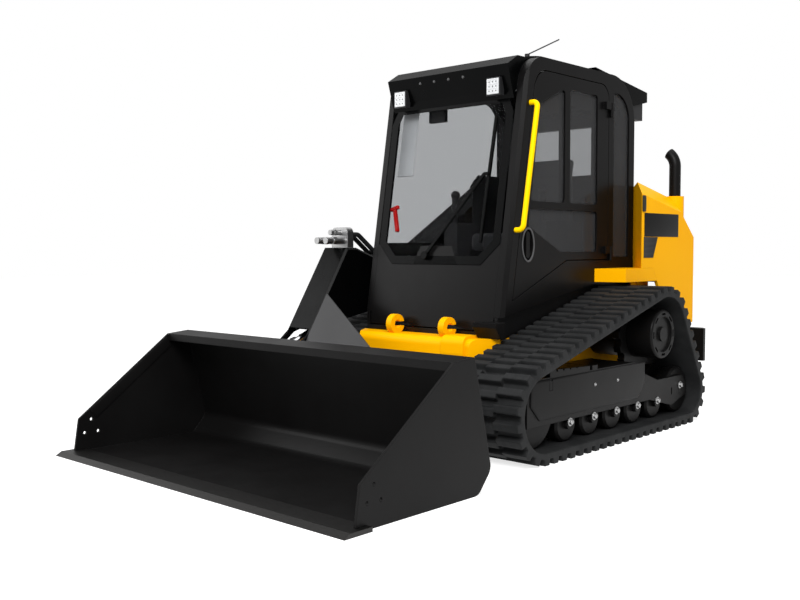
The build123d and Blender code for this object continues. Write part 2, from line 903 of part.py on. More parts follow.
hood_outside = hood_block(0)
hood_inside = hood_block(hood_skin)
with BuildPart() as hood:
    add(hood_outside.part)
    add(hood_inside.part, mode=Mode.SUBTRACT)
    # Lower edge with its notch over the fender and the track
    with BuildSketch(Plane.YZ.offset(hood_right_x)):
        Polygon(*hood_lower, (hood_front_y, hood_base_z), (hood_rear_y, hood_base_z))
    extrude(amount=hood_width, mode=Mode.SUBTRACT)
    # Room for the chassis tub
    with BuildSketch(Plane.YZ.offset(-tub_half_width - fit_gap)):
        Polygon(
            (hood_front_y, cab_side_low_z + fit_gap),
            (cab_rear_y + tub_step + fit_gap, cab_side_low_z + fit_gap),
            (cab_rear_y + tub_step + fit_gap, hood_base_z),
            (hood_front_y, hood_base_z),
        )
    extrude(amount=2 * (tub_half_width + fit_gap), mode=Mode.SUBTRACT)
    # Vent with slats in the left side
    with BuildSketch(Plane.YZ.offset(hood_left_x)):
        Polygon(
            (vent_front_y, vent_low_z),
            (vent_front_y, vent_low_z + vent_height),
            (vent_front_y + vent_top_length, vent_low_z + vent_height),
            (vent_front_y + vent_low_length, vent_low_z),
        )
    extrude(amount=-vent_depth, mode=Mode.SUBTRACT)
    for index in range(vent_slats):
        slat_share = (index + 0.5) / vent_slats
        slat_length = vent_low_length + slat_share * (vent_top_length - vent_low_length)
        with Locations((hood_left_x - vent_depth, vent_front_y, vent_low_z + slat_share * vent_height)):
            Box(vent_depth, slat_length, slat_height, align=(Align.MIN, Align.MIN, Align.CENTER))
    # Opening for the rear door
    with BuildSketch(Plane.XZ.offset(-hood_rear_y)):
        with Locations(((hood_left_x + hood_right_x) / 2, (rear_door_top_z + hood_rear_low_z) / 2 - 1)):
            Rectangle(hood_width - 2 * rear_door_margin, rear_door_top_z - hood_rear_low_z + 2)
    extrude(amount=hood_skin + 1, mode=Mode.SUBTRACT)
    with BuildSketch(Plane.XY.offset(exhaust_base_z)):
        with Locations((exhaust_x, exhaust_y)):
            Circle(exhaust_radius + exhaust_collar)
    extrude(amount=-exhaust_collar_depth)
    for z in rear_hinge_zs:
        with Locations((rear_hinge_x, rear_hinge_y, z)):
            Cylinder(knuckle_radius, knuckle_height, align=(Align.CENTER, Align.CENTER, Align.MAX))
            Box(knuckle_radius * 2, knuckle_radius * 2, knuckle_height, align=(Align.MIN, Align.MAX, Align.MAX))
finish(hood, "engine_hood")

with BuildPart() as rear_door:
    with BuildSketch(Plane.XZ.offset(-hood_rear_y)):
        with Locations(((hood_left_x + hood_right_x) / 2, (rear_door_top_z + rear_door_low_z) / 2)):
            Rectangle(
                hood_width - 2 * rear_door_margin - 2 * door_gap,
                rear_door_top_z - rear_door_low_z - 2 * door_gap,
            )
            with GridLocations(rear_slot_pitch, rear_slot_rise, rear_slot_columns, rear_slot_rows):
                SlotOverall(rear_slot_length, rear_slot_height, mode=Mode.SUBTRACT)
    extrude(amount=rear_door_thickness)
    for z in rear_hinge_zs:
        with Locations((rear_hinge_x, rear_hinge_y, z + fit_gap)):
            Cylinder(knuckle_radius, knuckle_height, align=(Align.CENTER, Align.CENTER, Align.MIN))
            Box(leaf_length, leaf_thickness, knuckle_height, align=(Align.MAX, Align.CENTER, Align.MIN))
        with Locations((rear_hinge_x - leaf_length, rear_hinge_y, z + fit_gap)):
            Box(leaf_foot, 2 * hinge_offset, knuckle_height, align=(Align.MIN, Align.CENTER, Align.MIN))
finish(rear_door, "rear_door")

engine_front_y = cab_rear_y + 30
engine_width = 560
engine_length = 350
engine_top_z = 1080
sump_top_z = 430
with BuildPart() as engine:
    with BuildSketch(Plane.YZ.offset(-engine_width / 2)):
        Polygon(
            (engine_front_y, tub_belly_z + tub_wall),
            (engine_front_y, engine_top_z),
            (engine_front_y + engine_length, engine_top_z),
            (engine_front_y + engine_length, sump_top_z),
            (engine_front_y + engine_length * 0.6, sump_top_z),
            (engine_front_y + engine_length * 0.6, tub_belly_z + tub_wall),
        )
    extrude(amount=engine_width)
finish(engine, "engine_block")

with BuildPart() as exhaust:
    with BuildLine() as exhaust_path:
        riser = Line((exhaust_x, exhaust_y, exhaust_base_z), (exhaust_x, exhaust_y, exhaust_base_z + exhaust_rise))
        TangentArc(
            riser @ 1,
            (exhaust_x - exhaust_bend / 2, exhaust_y, exhaust_base_z + exhaust_rise + exhaust_bend),
            tangent=(0, 0, 1),
        )
    with BuildSketch(Plane.XY.offset(exhaust_base_z)):
        with Locations((exhaust_x, exhaust_y)):
            Circle(exhaust_radius)
            Circle(exhaust_radius - exhaust_wall, mode=Mode.SUBTRACT)
    sweep(path=exhaust_path.line)
finish(exhaust, "exhaust_stack")

# Black grille lying on the hood behind the cab
with BuildPart() as hood_grille:
    grille_plane = Plane(
        origin=(0, grille_front_y, hood_top_z(grille_front_y) + fit_gap), x_dir=(1, 0, 0), z_dir=(0, hood_fall, 1)
    )
    with BuildSketch(grille_plane):
        with Locations((0, grille_length / 2)):
            RectangleRounded(2 * grille_half, grille_length, grille_bar)
            with GridLocations(grille_half, grille_length / grille_bars, 2, grille_bars - 1):
                SlotOverall(grille_half - 2 * grille_bar, grille_bar, mode=Mode.SUBTRACT)
    extrude(amount=grille_depth)
finish(hood_grille, "hood_grille")

# Cab shell from one side outline
def rounded(points, front_round, rear_round):
    """Closed outline with its front and rear top corners rounded."""
    with BuildSketch() as outline:
        Polygon(*points)
        if front_round:
            fillet(outline.vertices().group_by(Axis.Y)[-1].sort_by(Axis.X)[0], front_round)
        if rear_round:
            fillet(outline.vertices().group_by(Axis.Y)[-1].sort_by(Axis.X)[-1], rear_round)
    return outline.sketch


def cab_outline():
    """Side outline of the cab."""
    return rounded(
        [
            (cab_front_y(cab_side_front_z), cab_side_front_z),
            (cab_front_y(cab_top_z), cab_top_z),
            (cab_rear_y, cab_top_z),
            (cab_rear_y, cab_side_low_z),
            (cab_side_knee_y, cab_side_low_z),
        ],
        cab_front_round,
        cab_rear_round,
    )


def door_outline(gap):
    """Door outline at a gap inside its opening."""
    front = pillar_width + gap
    return rounded(
        [
            (cab_front_y(door_toe_z) + front, door_toe_z + gap),
            (cab_front_y(door_top_z) + front, door_top_z - gap),
            (door_rear_y - gap, door_top_z - gap),
            (door_rear_y - gap, door_low_z + gap),
            (door_knee_y, door_low_z + gap),
        ],
        door_front_round,
        door_rear_round,
    )


def door_panes(gap):
    """Outlines of the door's three panes at a gap inside their openings."""
    def front_y(z):
        return cab_front_y(z) + pillar_width + door_rail + gap

    upper_low_z = door_bar_z + door_bar_height + gap
    upper_top_z = door_top_z - door_rail - gap
    shoulder_z = upper_top_z - pane_shoulder
    rear_y = door_rear_y - door_stile - gap
    front_pane = [
        (front_y(upper_low_z), upper_low_z),
        (front_y(shoulder_z), shoulder_z),
        (door_bar_y - gap, upper_top_z),
        (door_bar_y - gap, upper_low_z),
    ]
    rear_pane = [
        (door_bar_y + door_bar + gap, upper_low_z),
        (door_bar_y + door_bar + gap, upper_top_z),
        (rear_y, upper_top_z),
        (rear_y, upper_low_z),
    ]
    lower_pane = [
        (front_y(door_glass_toe_z), door_glass_toe_z + gap),
        (front_y(door_bar_z), door_bar_z - gap),
        (rear_y, door_bar_z - gap),
        (rear_y, door_glass_low_z + gap),
        (door_glass_knee_y, door_glass_low_z + gap),
    ]
    with BuildSketch() as panes:
        for pane in (front_pane, rear_pane, lower_pane):
            Polygon(*pane)
        fillet(panes.vertices(), pane_round)
    return panes.sketch


def quarter_outline(gap):
    """Rear quarter window outline at a gap inside its opening."""
    return rounded(
        [
            (quarter_front_y + gap, quarter_low_z + gap),
            (quarter_front_y + gap, quarter_top_z - gap),
            (quarter_rear_y - gap, quarter_top_z - gap),
            (quarter_rear_y - gap, quarter_low_z + gap),
        ],
        0,
        quarter_round,
    )


def right_outline(gap):
    """Right side window outline at a gap inside its opening."""
    front = pillar_width + gap
    return rounded(
        [
            (cab_front_y(right_window_low_z) + front, right_window_low_z + gap),
            (cab_front_y(door_top_z) + front, door_top_z - gap),
            (right_window_rear_y - gap, door_top_z - gap),
            (right_window_rear_y - gap, right_window_low_z + gap),
        ],
        door_front_round,
        quarter_round,
    )


def pillar_bevel(side):
    """Prism that takes the front outer corner off a side frame."""
    foot_y = cab_front_y(cab_side_front_z)
    with BuildPart() as prism:
        with BuildSketch(Plane.XY.offset(cab_side_front_z)):
            Polygon(
                (side * (cab_half_width - cab_corner_chamfer), foot_y),
                (side * cab_half_width, foot_y),
                (side * cab_half_width, foot_y + cab_corner_chamfer),
            )
        extrude(amount=(cab_top_z - cab_side_front_z) * screen_slope, dir=(0, cab_lean, 1))
    return prism


bevel_left = pillar_bevel(1)
bevel_right = pillar_bevel(-1)
with BuildPart() as cab_left:
    with BuildSketch(Plane.YZ.offset(cab_inner_x)):
        add(cab_outline())
    extrude(amount=cab_wall)
    with BuildSketch(Plane.YZ.offset(cab_inner_x)):
        add(door_outline(0))
    extrude(amount=cab_wall, mode=Mode.SUBTRACT)
    with BuildSketch(Plane.YZ.offset(cab_inner_x)):
        add(quarter_outline(0))
    extrude(amount=cab_wall, mode=Mode.SUBTRACT)
    add(bevel_left.part, mode=Mode.SUBTRACT)
    for z in hinge_zs:
        with Locations((hinge_x, hinge_y, z)):
            Cylinder(knuckle_radius, knuckle_height, align=(Align.CENTER, Align.CENTER, Align.MAX))
            Box(knuckle_radius * 2, knuckle_radius * 2, knuckle_height, align=(Align.MAX, Align.MIN, Align.MAX))
finish(cab_left, "cab_left_frame")

with BuildPart() as cab_right:
    with BuildSketch(Plane.YZ.offset(-cab_inner_x)):
        add(cab_outline())
    extrude(amount=-cab_wall)
    with BuildSketch(Plane.YZ.offset(-cab_inner_x)):
        add(right_outline(0))
    extrude(amount=-cab_wall, mode=Mode.SUBTRACT)
    add(bevel_right.part, mode=Mode.SUBTRACT)
finish(cab_right, "cab_right_frame")

with BuildPart() as quarter_glass:
    with BuildSketch(Plane.YZ.offset(cab_half_width - glass_inset)):
        add(quarter_outline(fit_gap))
    extrude(amount=glass_thickness)
finish(quarter_glass, "quarter_glass")

with BuildPart() as right_glass:
    with BuildSketch(Plane.YZ.offset(-cab_half_width + glass_inset)):
        add(right_outline(fit_gap))
    extrude(amount=-glass_thickness)
finish(right_glass, "right_glass")


def cab_ring():
    """Skin between the side frames: the cab outline less its inside."""
    with BuildSketch() as ring:
        add(cab_outline())
        offset(amount=-cab_skin, mode=Mode.SUBTRACT)
    return ring.sketch


# Rear overhang of the roof, cut clear of the side frames
overhang_tip_y = cab_rear_y + overhang_reach
overhang_tip_z = cab_top_z - overhang_fall - overhang_lip
overhang_heel_y = cab_rear_y - overhang_heel
overhang_heel_z = roof_joint_z + overhang_lift
with BuildPart() as roof_overhang:
    with BuildSketch(Plane.YZ.offset(-overhang_half)):
        Polygon(
            (cab_rear_y - overhang_root, cab_top_z + overhang_rise),
            (overhang_tip_y, cab_top_z - overhang_fall),
            (overhang_tip_y, overhang_tip_z),
            (overhang_heel_y, overhang_heel_z),
        )
    extrude(amount=2 * overhang_half)
    for x in (cab_inner_x - fit_gap, -cab_half_width):
        with BuildSketch(Plane.YZ.offset(x)):
            add(cab_outline())
            offset(amount=fit_gap)
        extrude(amount=cab_wall + fit_gap, mode=Mode.SUBTRACT)

with BuildPart() as cab_roof:
    with BuildSketch(Plane.YZ.offset(-cab_inner_x)):
        add(cab_ring())
    extrude(amount=2 * cab_inner_x)
    with BuildSketch(Plane.XY.offset(roof_joint_z)):
        with Locations((0, cab_rear_y / 2)):
            Rectangle(2 * cab_inner_x, 2 * cab_rear_y)
    extrude(amount=cab_top_z, mode=Mode.INTERSECT)
    # Raised crown
    with BuildSketch(Plane.XY.offset(cab_top_z)):
        with Locations((0, cab_rear_y - crown_setback)):
            RectangleRounded(crown_width, crown_length, crown_round)
    extrude(amount=crown_height, taper=crown_taper)
    add(roof_overhang.part)
finish(cab_roof, "cab_roof")

with BuildPart() as cab_rear:
    with BuildSketch(Plane.YZ.offset(-cab_inner_x)):
        add(cab_ring())
    extrude(amount=2 * cab_inner_x)
    with BuildSketch(Plane.XY.offset(cab_side_low_z)):
        with Locations((0, cab_rear_y)):
            Rectangle(2 * cab_inner_x, 2 * cab_rear_round)
    extrude(amount=roof_joint_z - cab_side_low_z, mode=Mode.INTERSECT)
    with BuildSketch(Plane.YZ.offset(-cab_inner_x)):
        with Locations((cab_rear_y - cab_skin, cab_side_low_z + cab_skin)):
            Rectangle(2 * cab_rear_round, roof_joint_z - cab_side_low_z, align=(Align.MAX, Align.MIN))
    extrude(amount=2 * cab_inner_x, mode=Mode.SUBTRACT)
    with BuildSketch(Plane.XZ.offset(-cab_rear_y)):
        with Locations((0, (rear_window_low_z + rear_window_top_z) / 2)):
            RectangleRounded(2 * rear_window_half, rear_window_height, rear_window_round)
    extrude(amount=2 * cab_skin, mode=Mode.SUBTRACT)
finish(cab_rear, "cab_rear_wall")

with BuildPart() as rear_glass:
    with BuildSketch(Plane.XZ.offset(-cab_rear_y + glass_inset)):
        with Locations((0, (rear_window_low_z + rear_window_top_z) / 2)):
            RectangleRounded(
                2 * (rear_window_half - fit_gap),
                rear_window_height - 2 * fit_gap,
                rear_window_round - fit_gap,
            )
    extrude(amount=glass_thickness)
finish(rear_glass, "rear_glass")


def panel_back_y(z):
    """Rear face of the front panel at a height, with its clearance."""
    return cab_front_y(z) + front_panel_thickness * screen_slope + fit_gap


floor_top_z = cab_foot_z + floor_drop
floor_low_z = floor_top_z - floor_plate
with BuildPart() as cab_floor:
    with BuildSketch(Plane.YZ.offset(-cab_inner_x)):
        Polygon(
            (panel_back_y(floor_low_z), floor_low_z),
            (panel_back_y(floor_top_z), floor_top_z),
            (seat_step_y, floor_top_z),
            (seat_step_y, seat_deck_z),
            (cab_rear_y - cab_skin, seat_deck_z),
            (cab_rear_y - cab_skin, seat_deck_z - floor_plate),
            (seat_step_y + floor_plate, seat_deck_z - floor_plate),
            (seat_step_y + floor_plate, floor_low_z),
        )
    extrude(amount=2 * cab_inner_x)
finish(cab_floor, "cab_floor")

# Front panel and windscreen meet along one line with a hump in its middle
sill_line = [
    (-screen_half_width, screen_corner_z),
    (-screen_low_half, screen_low_z),
    (-hump_low_half, screen_low_z),
    (-hump_top_half, hump_top_z),
    (hump_top_half, hump_top_z),
    (hump_low_half, screen_low_z),
    (screen_low_half, screen_low_z),
    (screen_half_width, screen_corner_z),
]
with BuildPart() as front_panel:
    with BuildSketch(screen_plane):
        Polygon(
            (-cab_inner_x, up_screen(cab_foot_z)),
            (-cab_inner_x, up_screen(screen_corner_z)),
            *[(x, up_screen(z)) for x, z in sill_line],
            (cab_inner_x, up_screen(screen_corner_z)),
            (cab_inner_x, up_screen(cab_foot_z)),
        )
    extrude(amount=-front_panel_thickness)
finish(front_panel, "cab_front_panel")

with BuildPart() as windscreen:
    with BuildSketch(screen_plane):
        Polygon(
            *[(x, up_screen(z) + fit_gap) for x, z in sill_line],
            (screen_half_width, up_screen(screen_shoulder_z)),
            (screen_top_half, up_screen(screen_top_z)),
            (-screen_top_half, up_screen(screen_top_z)),
            (-screen_half_width, up_screen(screen_shoulder_z)),
        )
    extrude(amount=-glass_thickness)
finish(windscreen, "windscreen")


def wiper_bar(start, end, width):
    """Flat bar between two points on the screen."""
    with BuildSketch() as bar:
        for point in (start, end):
            with Locations(point):
                Circle(width / 2)
        make_hull()
    return bar.sketch


# Wiper standing on the hump, parked upright
wiper_pivot = (wiper_pivot_x, up_screen(hump_top_z - wiper_pivot_radius - panel_gap))
wiper_elbow = (wiper_elbow_x, up_screen(cab_top_z - wiper_elbow_drop))
wiper_low = (wiper_blade_low_x, up_screen(wiper_blade_low_z))
wiper_top = (wiper_blade_top_x, up_screen(cab_top_z - wiper_blade_top_drop))
wiper_mid = ((wiper_low[0] + wiper_top[0]) / 2, wiper_elbow[1])
with BuildPart() as wiper:
    with BuildSketch(screen_plane.offset(fit_gap)):
        with Locations(wiper_pivot):
            Circle(wiper_pivot_radius)
    extrude(amount=wiper_pivot_height)
    with BuildSketch(screen_plane.offset(wiper_stand)):
        add(wiper_bar(wiper_pivot, wiper_elbow, wiper_arm_width))
        add(wiper_bar(wiper_elbow, wiper_mid, wiper_arm_width))
    extrude(amount=wiper_arm_thickness)
    with BuildSketch(screen_plane.offset(fit_gap)):
        add(wiper_bar(wiper_low, wiper_top, wiper_arm_width))
    extrude(amount=wiper_stand)
finish(wiper, "windscreen_wiper")

# Visor over the windscreen with two lamps on its sloping face
visor_top_z = cab_top_z - visor_top_drop
visor_low_z = cab_top_z - visor_low_drop
visor_foot_z = cab_top_z - visor_foot_drop
visor_top_y = cab_front_y(visor_top_z) - visor_top_reach
visor_low_y = cab_front_y(visor_low_z) - visor_low_reach
visor_slope = (visor_low_y - visor_top_y) / (visor_top_z - visor_low_z)


def visor_face_y(z):
    return visor_top_y + (visor_top_z - z) * visor_slope


with BuildPart() as visor:
    with BuildSketch(Plane.YZ.offset(-visor_half)):
        Polygon(
            (visor_top_y, visor_top_z),
            (visor_low_y, visor_low_z),
            (cab_front_y(visor_foot_z), visor_foot_z),
            (cab_front_y(visor_top_z) + cab_front_round, visor_foot_z),
            (cab_front_y(visor_top_z) + cab_front_round, cab_top_z),
            (cab_front_y(visor_top_z), cab_top_z - fit_gap),
        )
    extrude(amount=2 * visor_half)
    with BuildSketch(Plane.YZ.offset(-visor_half)):
        add(cab_outline())
        offset(amount=fit_gap)
    extrude(amount=2 * visor_half, mode=Mode.SUBTRACT)
finish(visor, "roof_visor")

lamp_low_z = cab_top_z - lamp_centre_drop - lamp_height / 2
lamp_top_z = lamp_low_z + lamp_height
lamp_face_y = visor_low_y + visor_low_reach - lamp_face_reach
with BuildPart() as lights:
    for x in (-lamp_x, lamp_x):
        with BuildSketch(Plane.YZ.offset(x - lamp_width / 2)):
            Polygon(
                (lamp_face_y, lamp_low_z),
                (lamp_face_y, lamp_top_z),
                (visor_face_y(lamp_top_z) - fit_gap, lamp_top_z),
                (visor_low_y - fit_gap, visor_low_z),
                (visor_low_y - fit_gap, lamp_low_z),
            )
        extrude(amount=lamp_width)
finish(lights, "work_lights")

overhang_rise_rate = (overhang_tip_z - overhang_heel_z) / (overhang_tip_y - overhang_heel_y)


def overhang_under_z(y):
    return overhang_heel_z + (y - overhang_heel_y) * overhang_rise_rate - fit_gap


rear_lamp_y = cab_rear_y + rear_lamp_setback
with BuildPart() as rear_lights:
    for x in (-rear_lamp_x, rear_lamp_x):
        with BuildSketch(Plane.YZ.offset(x - rear_lamp_width / 2)):
            Polygon(
                (rear_lamp_y, overhang_under_z(rear_lamp_y)),
                (rear_lamp_y + rear_lamp_length, overhang_under_z(rear_lamp_y + rear_lamp_length)),
                (rear_lamp_y + rear_lamp_length, overhang_under_z(rear_lamp_y) - rear_lamp_height),
                (rear_lamp_y, overhang_under_z(rear_lamp_y) - rear_lamp_height),
            )
        extrude(amount=rear_lamp_width)
finish(rear_lights, "rear_work_lights")

# Cab interior
cushion_low_z = seat_deck_z + seat_base_height
with BuildPart() as seat_base:
    with Locations((0, seat_y, seat_deck_z)):
        Box(seat_base_width, seat_base_length, seat_base_height, align=(Align.CENTER, Align.CENTER, Align.MIN))
finish(seat_base, "seat_base")
with BuildPart() as seat_cushion:
    with Locations((0, seat_y, cushion_low_z + fit_gap)):
        Box(seat_width, seat_length, cushion_thickness, align=(Align.CENTER, Align.CENTER, Align.MIN))
    fillet(seat_cushion.edges(), cushion_round)
finish(seat_cushion, "seat_cushion")
with BuildPart() as seat_back:
    with Locations((0, seat_y + seat_length / 2 + fit_gap, cushion_low_z + fit_gap)):
        Box(seat_width, back_thickness, back_height, align=(Align.CENTER, Align.MIN, Align.MIN))
    fillet(seat_back.edges(), cushion_round)
finish(seat_back, "seat_back")
with BuildPart() as consoles:
    for x in (-console_x, console_x):
        with Locations((x, console_y, seat_deck_z)):
            Box(console_width, console_length, console_height, align=(Align.CENTER, Align.CENTER, Align.MIN))
        with Locations((x, lever_y, seat_deck_z + console_height)):
            Cylinder(lever_radius, lever_height, align=(Align.CENTER, Align.CENTER, Align.MIN))
        with Locations((x, lever_y, seat_deck_z + console_height + lever_height)):
            Cylinder(grip_radius, grip_height, align=(Align.CENTER, Align.CENTER, Align.MIN))
        with Locations((x, lever_y, seat_deck_z + console_height + lever_height + grip_height)):
            Sphere(knob_radius)
finish(consoles, "control_consoles")

# Cab door with its glass
with BuildPart() as door:
    with BuildSketch(Plane.YZ.offset(cab_half_width - door_thickness)):
        add(door_outline(door_gap))
    extrude(amount=door_thickness)
    with BuildSketch(Plane.YZ.offset(cab_half_width - door_thickness)):
        add(door_panes(0))
    extrude(amount=door_thickness, mode=Mode.SUBTRACT)
    # Oval latch recess with its handle
    with BuildSketch(Plane.YZ.offset(cab_half_width)):
        with Locations((latch_y, latch_z)):
            Ellipse(latch_width / 2, latch_height / 2)
    extrude(amount=-latch_depth, mode=Mode.SUBTRACT)
    with BuildSketch(Plane.YZ.offset(cab_half_width - latch_depth)):
        with Locations((latch_y, latch_z)):
            SlotOverall(latch_height - latch_handle, latch_handle, rotation=90)
    extrude(amount=latch_depth)
    for z in hinge_zs:
        with Locations((hinge_x, hinge_y, z + fit_gap)):
            Cylinder(knuckle_radius, knuckle_height, align=(Align.CENTER, Align.CENTER, Align.MIN))
            Box(leaf_thickness, leaf_length, knuckle_height, align=(Align.CENTER, Align.MAX, Align.MIN))
        with Locations((hinge_x, hinge_y - leaf_length, z + fit_gap)):
            Box(2 * hinge_offset, leaf_foot, knuckle_height, align=(Align.CENTER, Align.MIN, Align.MIN))
finish(door, "cab_door")

with BuildPart() as door_glass:
    with BuildSketch(Plane.YZ.offset(cab_half_width - glass_inset)):
        add(door_panes(fit_gap))
    extrude(amount=glass_thickness)
finish(door_glass, "door_glass")

# Grab bar on the front pillar
grab_top_z = door_top_z - grab_top_drop
grab_out_x = cab_half_width + grab_stand


def grab_point(x, z):
    share = (z - grab_low_z) / (grab_top_z - grab_low_z)
    setback = grab_low_setback + share * (grab_top_setback - grab_low_setback)
    return (x, cab_front_y(z) + setback, z)


with BuildPart() as grab_bar:
    with BuildLine() as bar_path:
        FilletPolyline(
            grab_point(cab_half_width, grab_low_z),
            grab_point(grab_out_x, grab_low_z),
            grab_point(grab_out_x, grab_top_z),
            grab_point(cab_half_width, grab_top_z),
            radius=grab_bend,
        )
    with BuildSketch(Plane(origin=bar_path.line @ 0, z_dir=bar_path.line % 0)):
        Circle(grab_radius)
    sweep(path=bar_path.line)
finish(grab_bar, "grab_bar")

antenna_y = cab_rear_y - antenna_setback
with BuildPart() as antenna:
    with Locations((antenna_x, antenna_y, crown_top_z)):
        Cylinder(antenna_foot / 2, antenna_foot, align=(Align.CENTER, Align.CENTER, Align.MIN))
    with BuildLine() as whip:
        Line(
            (antenna_x, antenna_y, crown_top_z + antenna_foot - antenna_radius),
            (antenna_x, antenna_y + antenna_lean, cab_top_z + antenna_rise),
        )
    with BuildSketch(Plane(origin=whip.line @ 0, z_dir=whip.line % 0)):
        Circle(antenna_radius)
    sweep(path=whip.line)
finish(antenna, "antenna")

# Loader arm tower
tower_outer_x = boom_outer_x - tower_gap - tower_plate
tower_inner_x = boom_inner_x + tower_gap + tower_plate
with BuildPart() as tower:
    for x in (tower_outer_x, tower_inner_x - tower_plate):
        with BuildSketch(Plane.YZ.offset(x)):
            Polygon(
                (boom_pivot_y - tower_front_run, tower_shoulder_z),
                (boom_pivot_y - boom_pivot_boss, boom_pivot_z + tower_head / 2),
                (boom_pivot_y - tower_head / 2, boom_pivot_z + tower_head),
                (boom_pivot_y + tower_head / 2, boom_pivot_z + tower_head),
                (boom_pivot_y + boom_pivot_boss, boom_pivot_z),
                (boom_pivot_y + tower_rear_run, tower_rear_z),
                (boom_pivot_y + tower_rear_run, tower_low_z),
                (boom_pivot_y - tower_low_run, tower_low_z),
            )
        extrude(amount=tower_plate)
    with BuildSketch(Plane.YZ.offset(tower_outer_x)):
        with Locations((boom_pivot_y, boom_pivot_z)):
            Circle(pivot_pin_radius)
        with Locations((lift_base_y, lift_base_z)):
            Circle(cylinder_pin_radius)
    extrude(amount=tower_inner_x - tower_outer_x)
    with BuildSketch(Plane.YZ.offset(tower_outer_x)):
        with Locations((boom_pivot_y + (tower_rear_run - tower_low_run) / 2, tower_low_z + tower_beam / 2)):
            Rectangle(tower_rear_run + tower_low_run, tower_beam)
    extrude(amount=-tub_half_width - tower_outer_x)
finish(tower, "boom_tower")

# Loader arm: two side plates with a top and front web, open below
leg_slope = (knee_y - leg_end_y) / (knee_z - leg_end_z)
boom_top = [
    (leg_end_y, leg_end_z),
    (knee_y, knee_z),
    (knee_y + knee_flat, knee_z),
    (saddle_y, saddle_z),
    (arm_break_y, arm_break_z),
    (boom_pivot_y - 60, boom_pivot_z + 95),
]
boom_bottom = [
    (boom_pivot_y + 60, boom_pivot_z - 95),
    (700, 900),
    (tilt_base_y + 40, tilt_base_z - 70),
    (knee_y, 660),
    (-430, 580),
    (-580, 465),
    (-620, 330),
]
boom_corners = []
with BuildPart() as boom:
    for x in (boom_outer_x, boom_inner_x - boom_plate):
        with BuildSketch(Plane.YZ.offset(x)):
            Polygon(*boom_top, *boom_bottom, (hitch_pin_y, hitch_pin_z - hitch_boss), (hitch_pin_y, hitch_pin_z + hitch_boss))
            with Locations((boom_pivot_y, boom_pivot_z)):
                Circle(boom_pivot_boss)
            with Locations(hitch_pin):
                Circle(hitch_boss)
            with Locations((boom_pivot_y, boom_pivot_z)):
                Circle(pivot_pin_radius + fit_gap, mode=Mode.SUBTRACT)
            with Locations(hitch_pin):
                Circle(hitch_pin_radius + fit_gap, mode=Mode.SUBTRACT)
        extrude(amount=boom_plate)
    with BuildSketch(Plane.YZ.offset(boom_outer_x + boom_plate)):
        with BuildLine():
            Polyline((leg_end_y + (leg_web_z - leg_end_z) * leg_slope, leg_web_z), *boom_top[1:])
            offset(amount=boom_plate, side=Side.RIGHT)
        make_face()
    extrude(amount=boom_width - 2 * boom_plate)
    with BuildSketch(Plane.YZ.offset(boom_outer_x)):
        with Locations((tilt_base_y, tilt_base_z)):
            Circle(cylinder_pin_radius)
    extrude(amount=boom_width)
    # Bevels along both upper corners
    for start, end in zip(boom_top[:-2], boom_top[1:-1]):
        middle_y = (start[0] + end[0]) / 2
        middle_z = (start[1] + end[1]) / 2
        corners = boom.edges().filter_by(
            lambda e: hypot(e.center().Y - middle_y, e.center().Z - middle_z) < 1
            and min(abs(e.center().X - boom_outer_x), abs(e.center().X - boom_inner_x)) < 1
        )
        boom_corners += corners
    chamfer(boom_corners, boom_bevel)
finish(boom, "boom_arm")

# Cross tube with the left hitch ears and the gusset
with BuildPart() as cross_tube:
    with BuildSketch(Plane.YZ.offset(boom_inner_x)):
        with Locations((tube_y, tube_z)):
            Circle(tube_radius)
    extrude(amount=left_ear_x - boom_inner_x)
    for x in (left_ear_x, left_ear_x - 140):
        with BuildSketch(Plane.YZ.offset(x)):
            with Locations((tube_y, tube_z)):
                Circle(tube_radius)
            with Locations(hitch_pin):
                Circle(hitch_boss)
            make_hull()
            with Locations(hitch_pin):
                Circle(hitch_pin_radius + fit_gap, mode=Mode.SUBTRACT)
        extrude(amount=-boom_plate)
    gusset_plane = Plane(
        origin=(boom_inner_x, leg_end_y, leg_end_z), x_dir=(1, 0, 0), z_dir=(0, -1, leg_slope)
    )
    with BuildSketch(gusset_plane):
        Polygon((0, -260), (0, 290), (620, -90), (620, -260))
    extrude(amount=-boom_plate)
finish(cross_tube, "boom_crosstube")

# Hydraulic couplers in their block on the knee, and the hoses that run back along the arm
block_front_y = knee_y + knee_flat - coupler_block
coupler_rows = [
    (-coupler_spread, coupler_low_rise, coupler_reach, coupler_radius),
    (coupler_spread, coupler_low_rise, coupler_reach, coupler_radius),
    (0, coupler_top_rise, coupler_top_reach, coupler_radius * 0.8),
]
with BuildPart() as couplers:
    with BuildSketch(Plane.YZ.offset(boom_mid_x - block_half)):
        with Locations((block_front_y, knee_z + fit_gap)):
            Rectangle(coupler_block, block_height, align=(Align.MIN, Align.MIN))
    extrude(amount=2 * block_half)
    fillet(couplers.edges().filter_by(Axis.Y).group_by(Axis.Z)[-1], block_half / 2)
    for x, rise, reach, radius in coupler_rows:
        with BuildSketch(Plane.XZ.offset(-block_front_y)):
            with Locations((boom_mid_x + x, knee_z + rise)):
                Circle(radius)
        extrude(amount=reach)
        with BuildSketch(Plane.XZ.offset(-block_front_y + reach * 0.45)):
            with Locations((boom_mid_x + x, knee_z + rise)):
                RegularPolygon(radius * 1.25, 6)
        extrude(amount=reach * 0.2)
finish(couplers, "hydraulic_couplers")


arm_rise = (arm_break_z - saddle_z) / (arm_break_y - saddle_y)


def arm_top_z(y):
    """Top of the arm between its saddle and its break."""
    return saddle_z + (y - saddle_y) * arm_rise


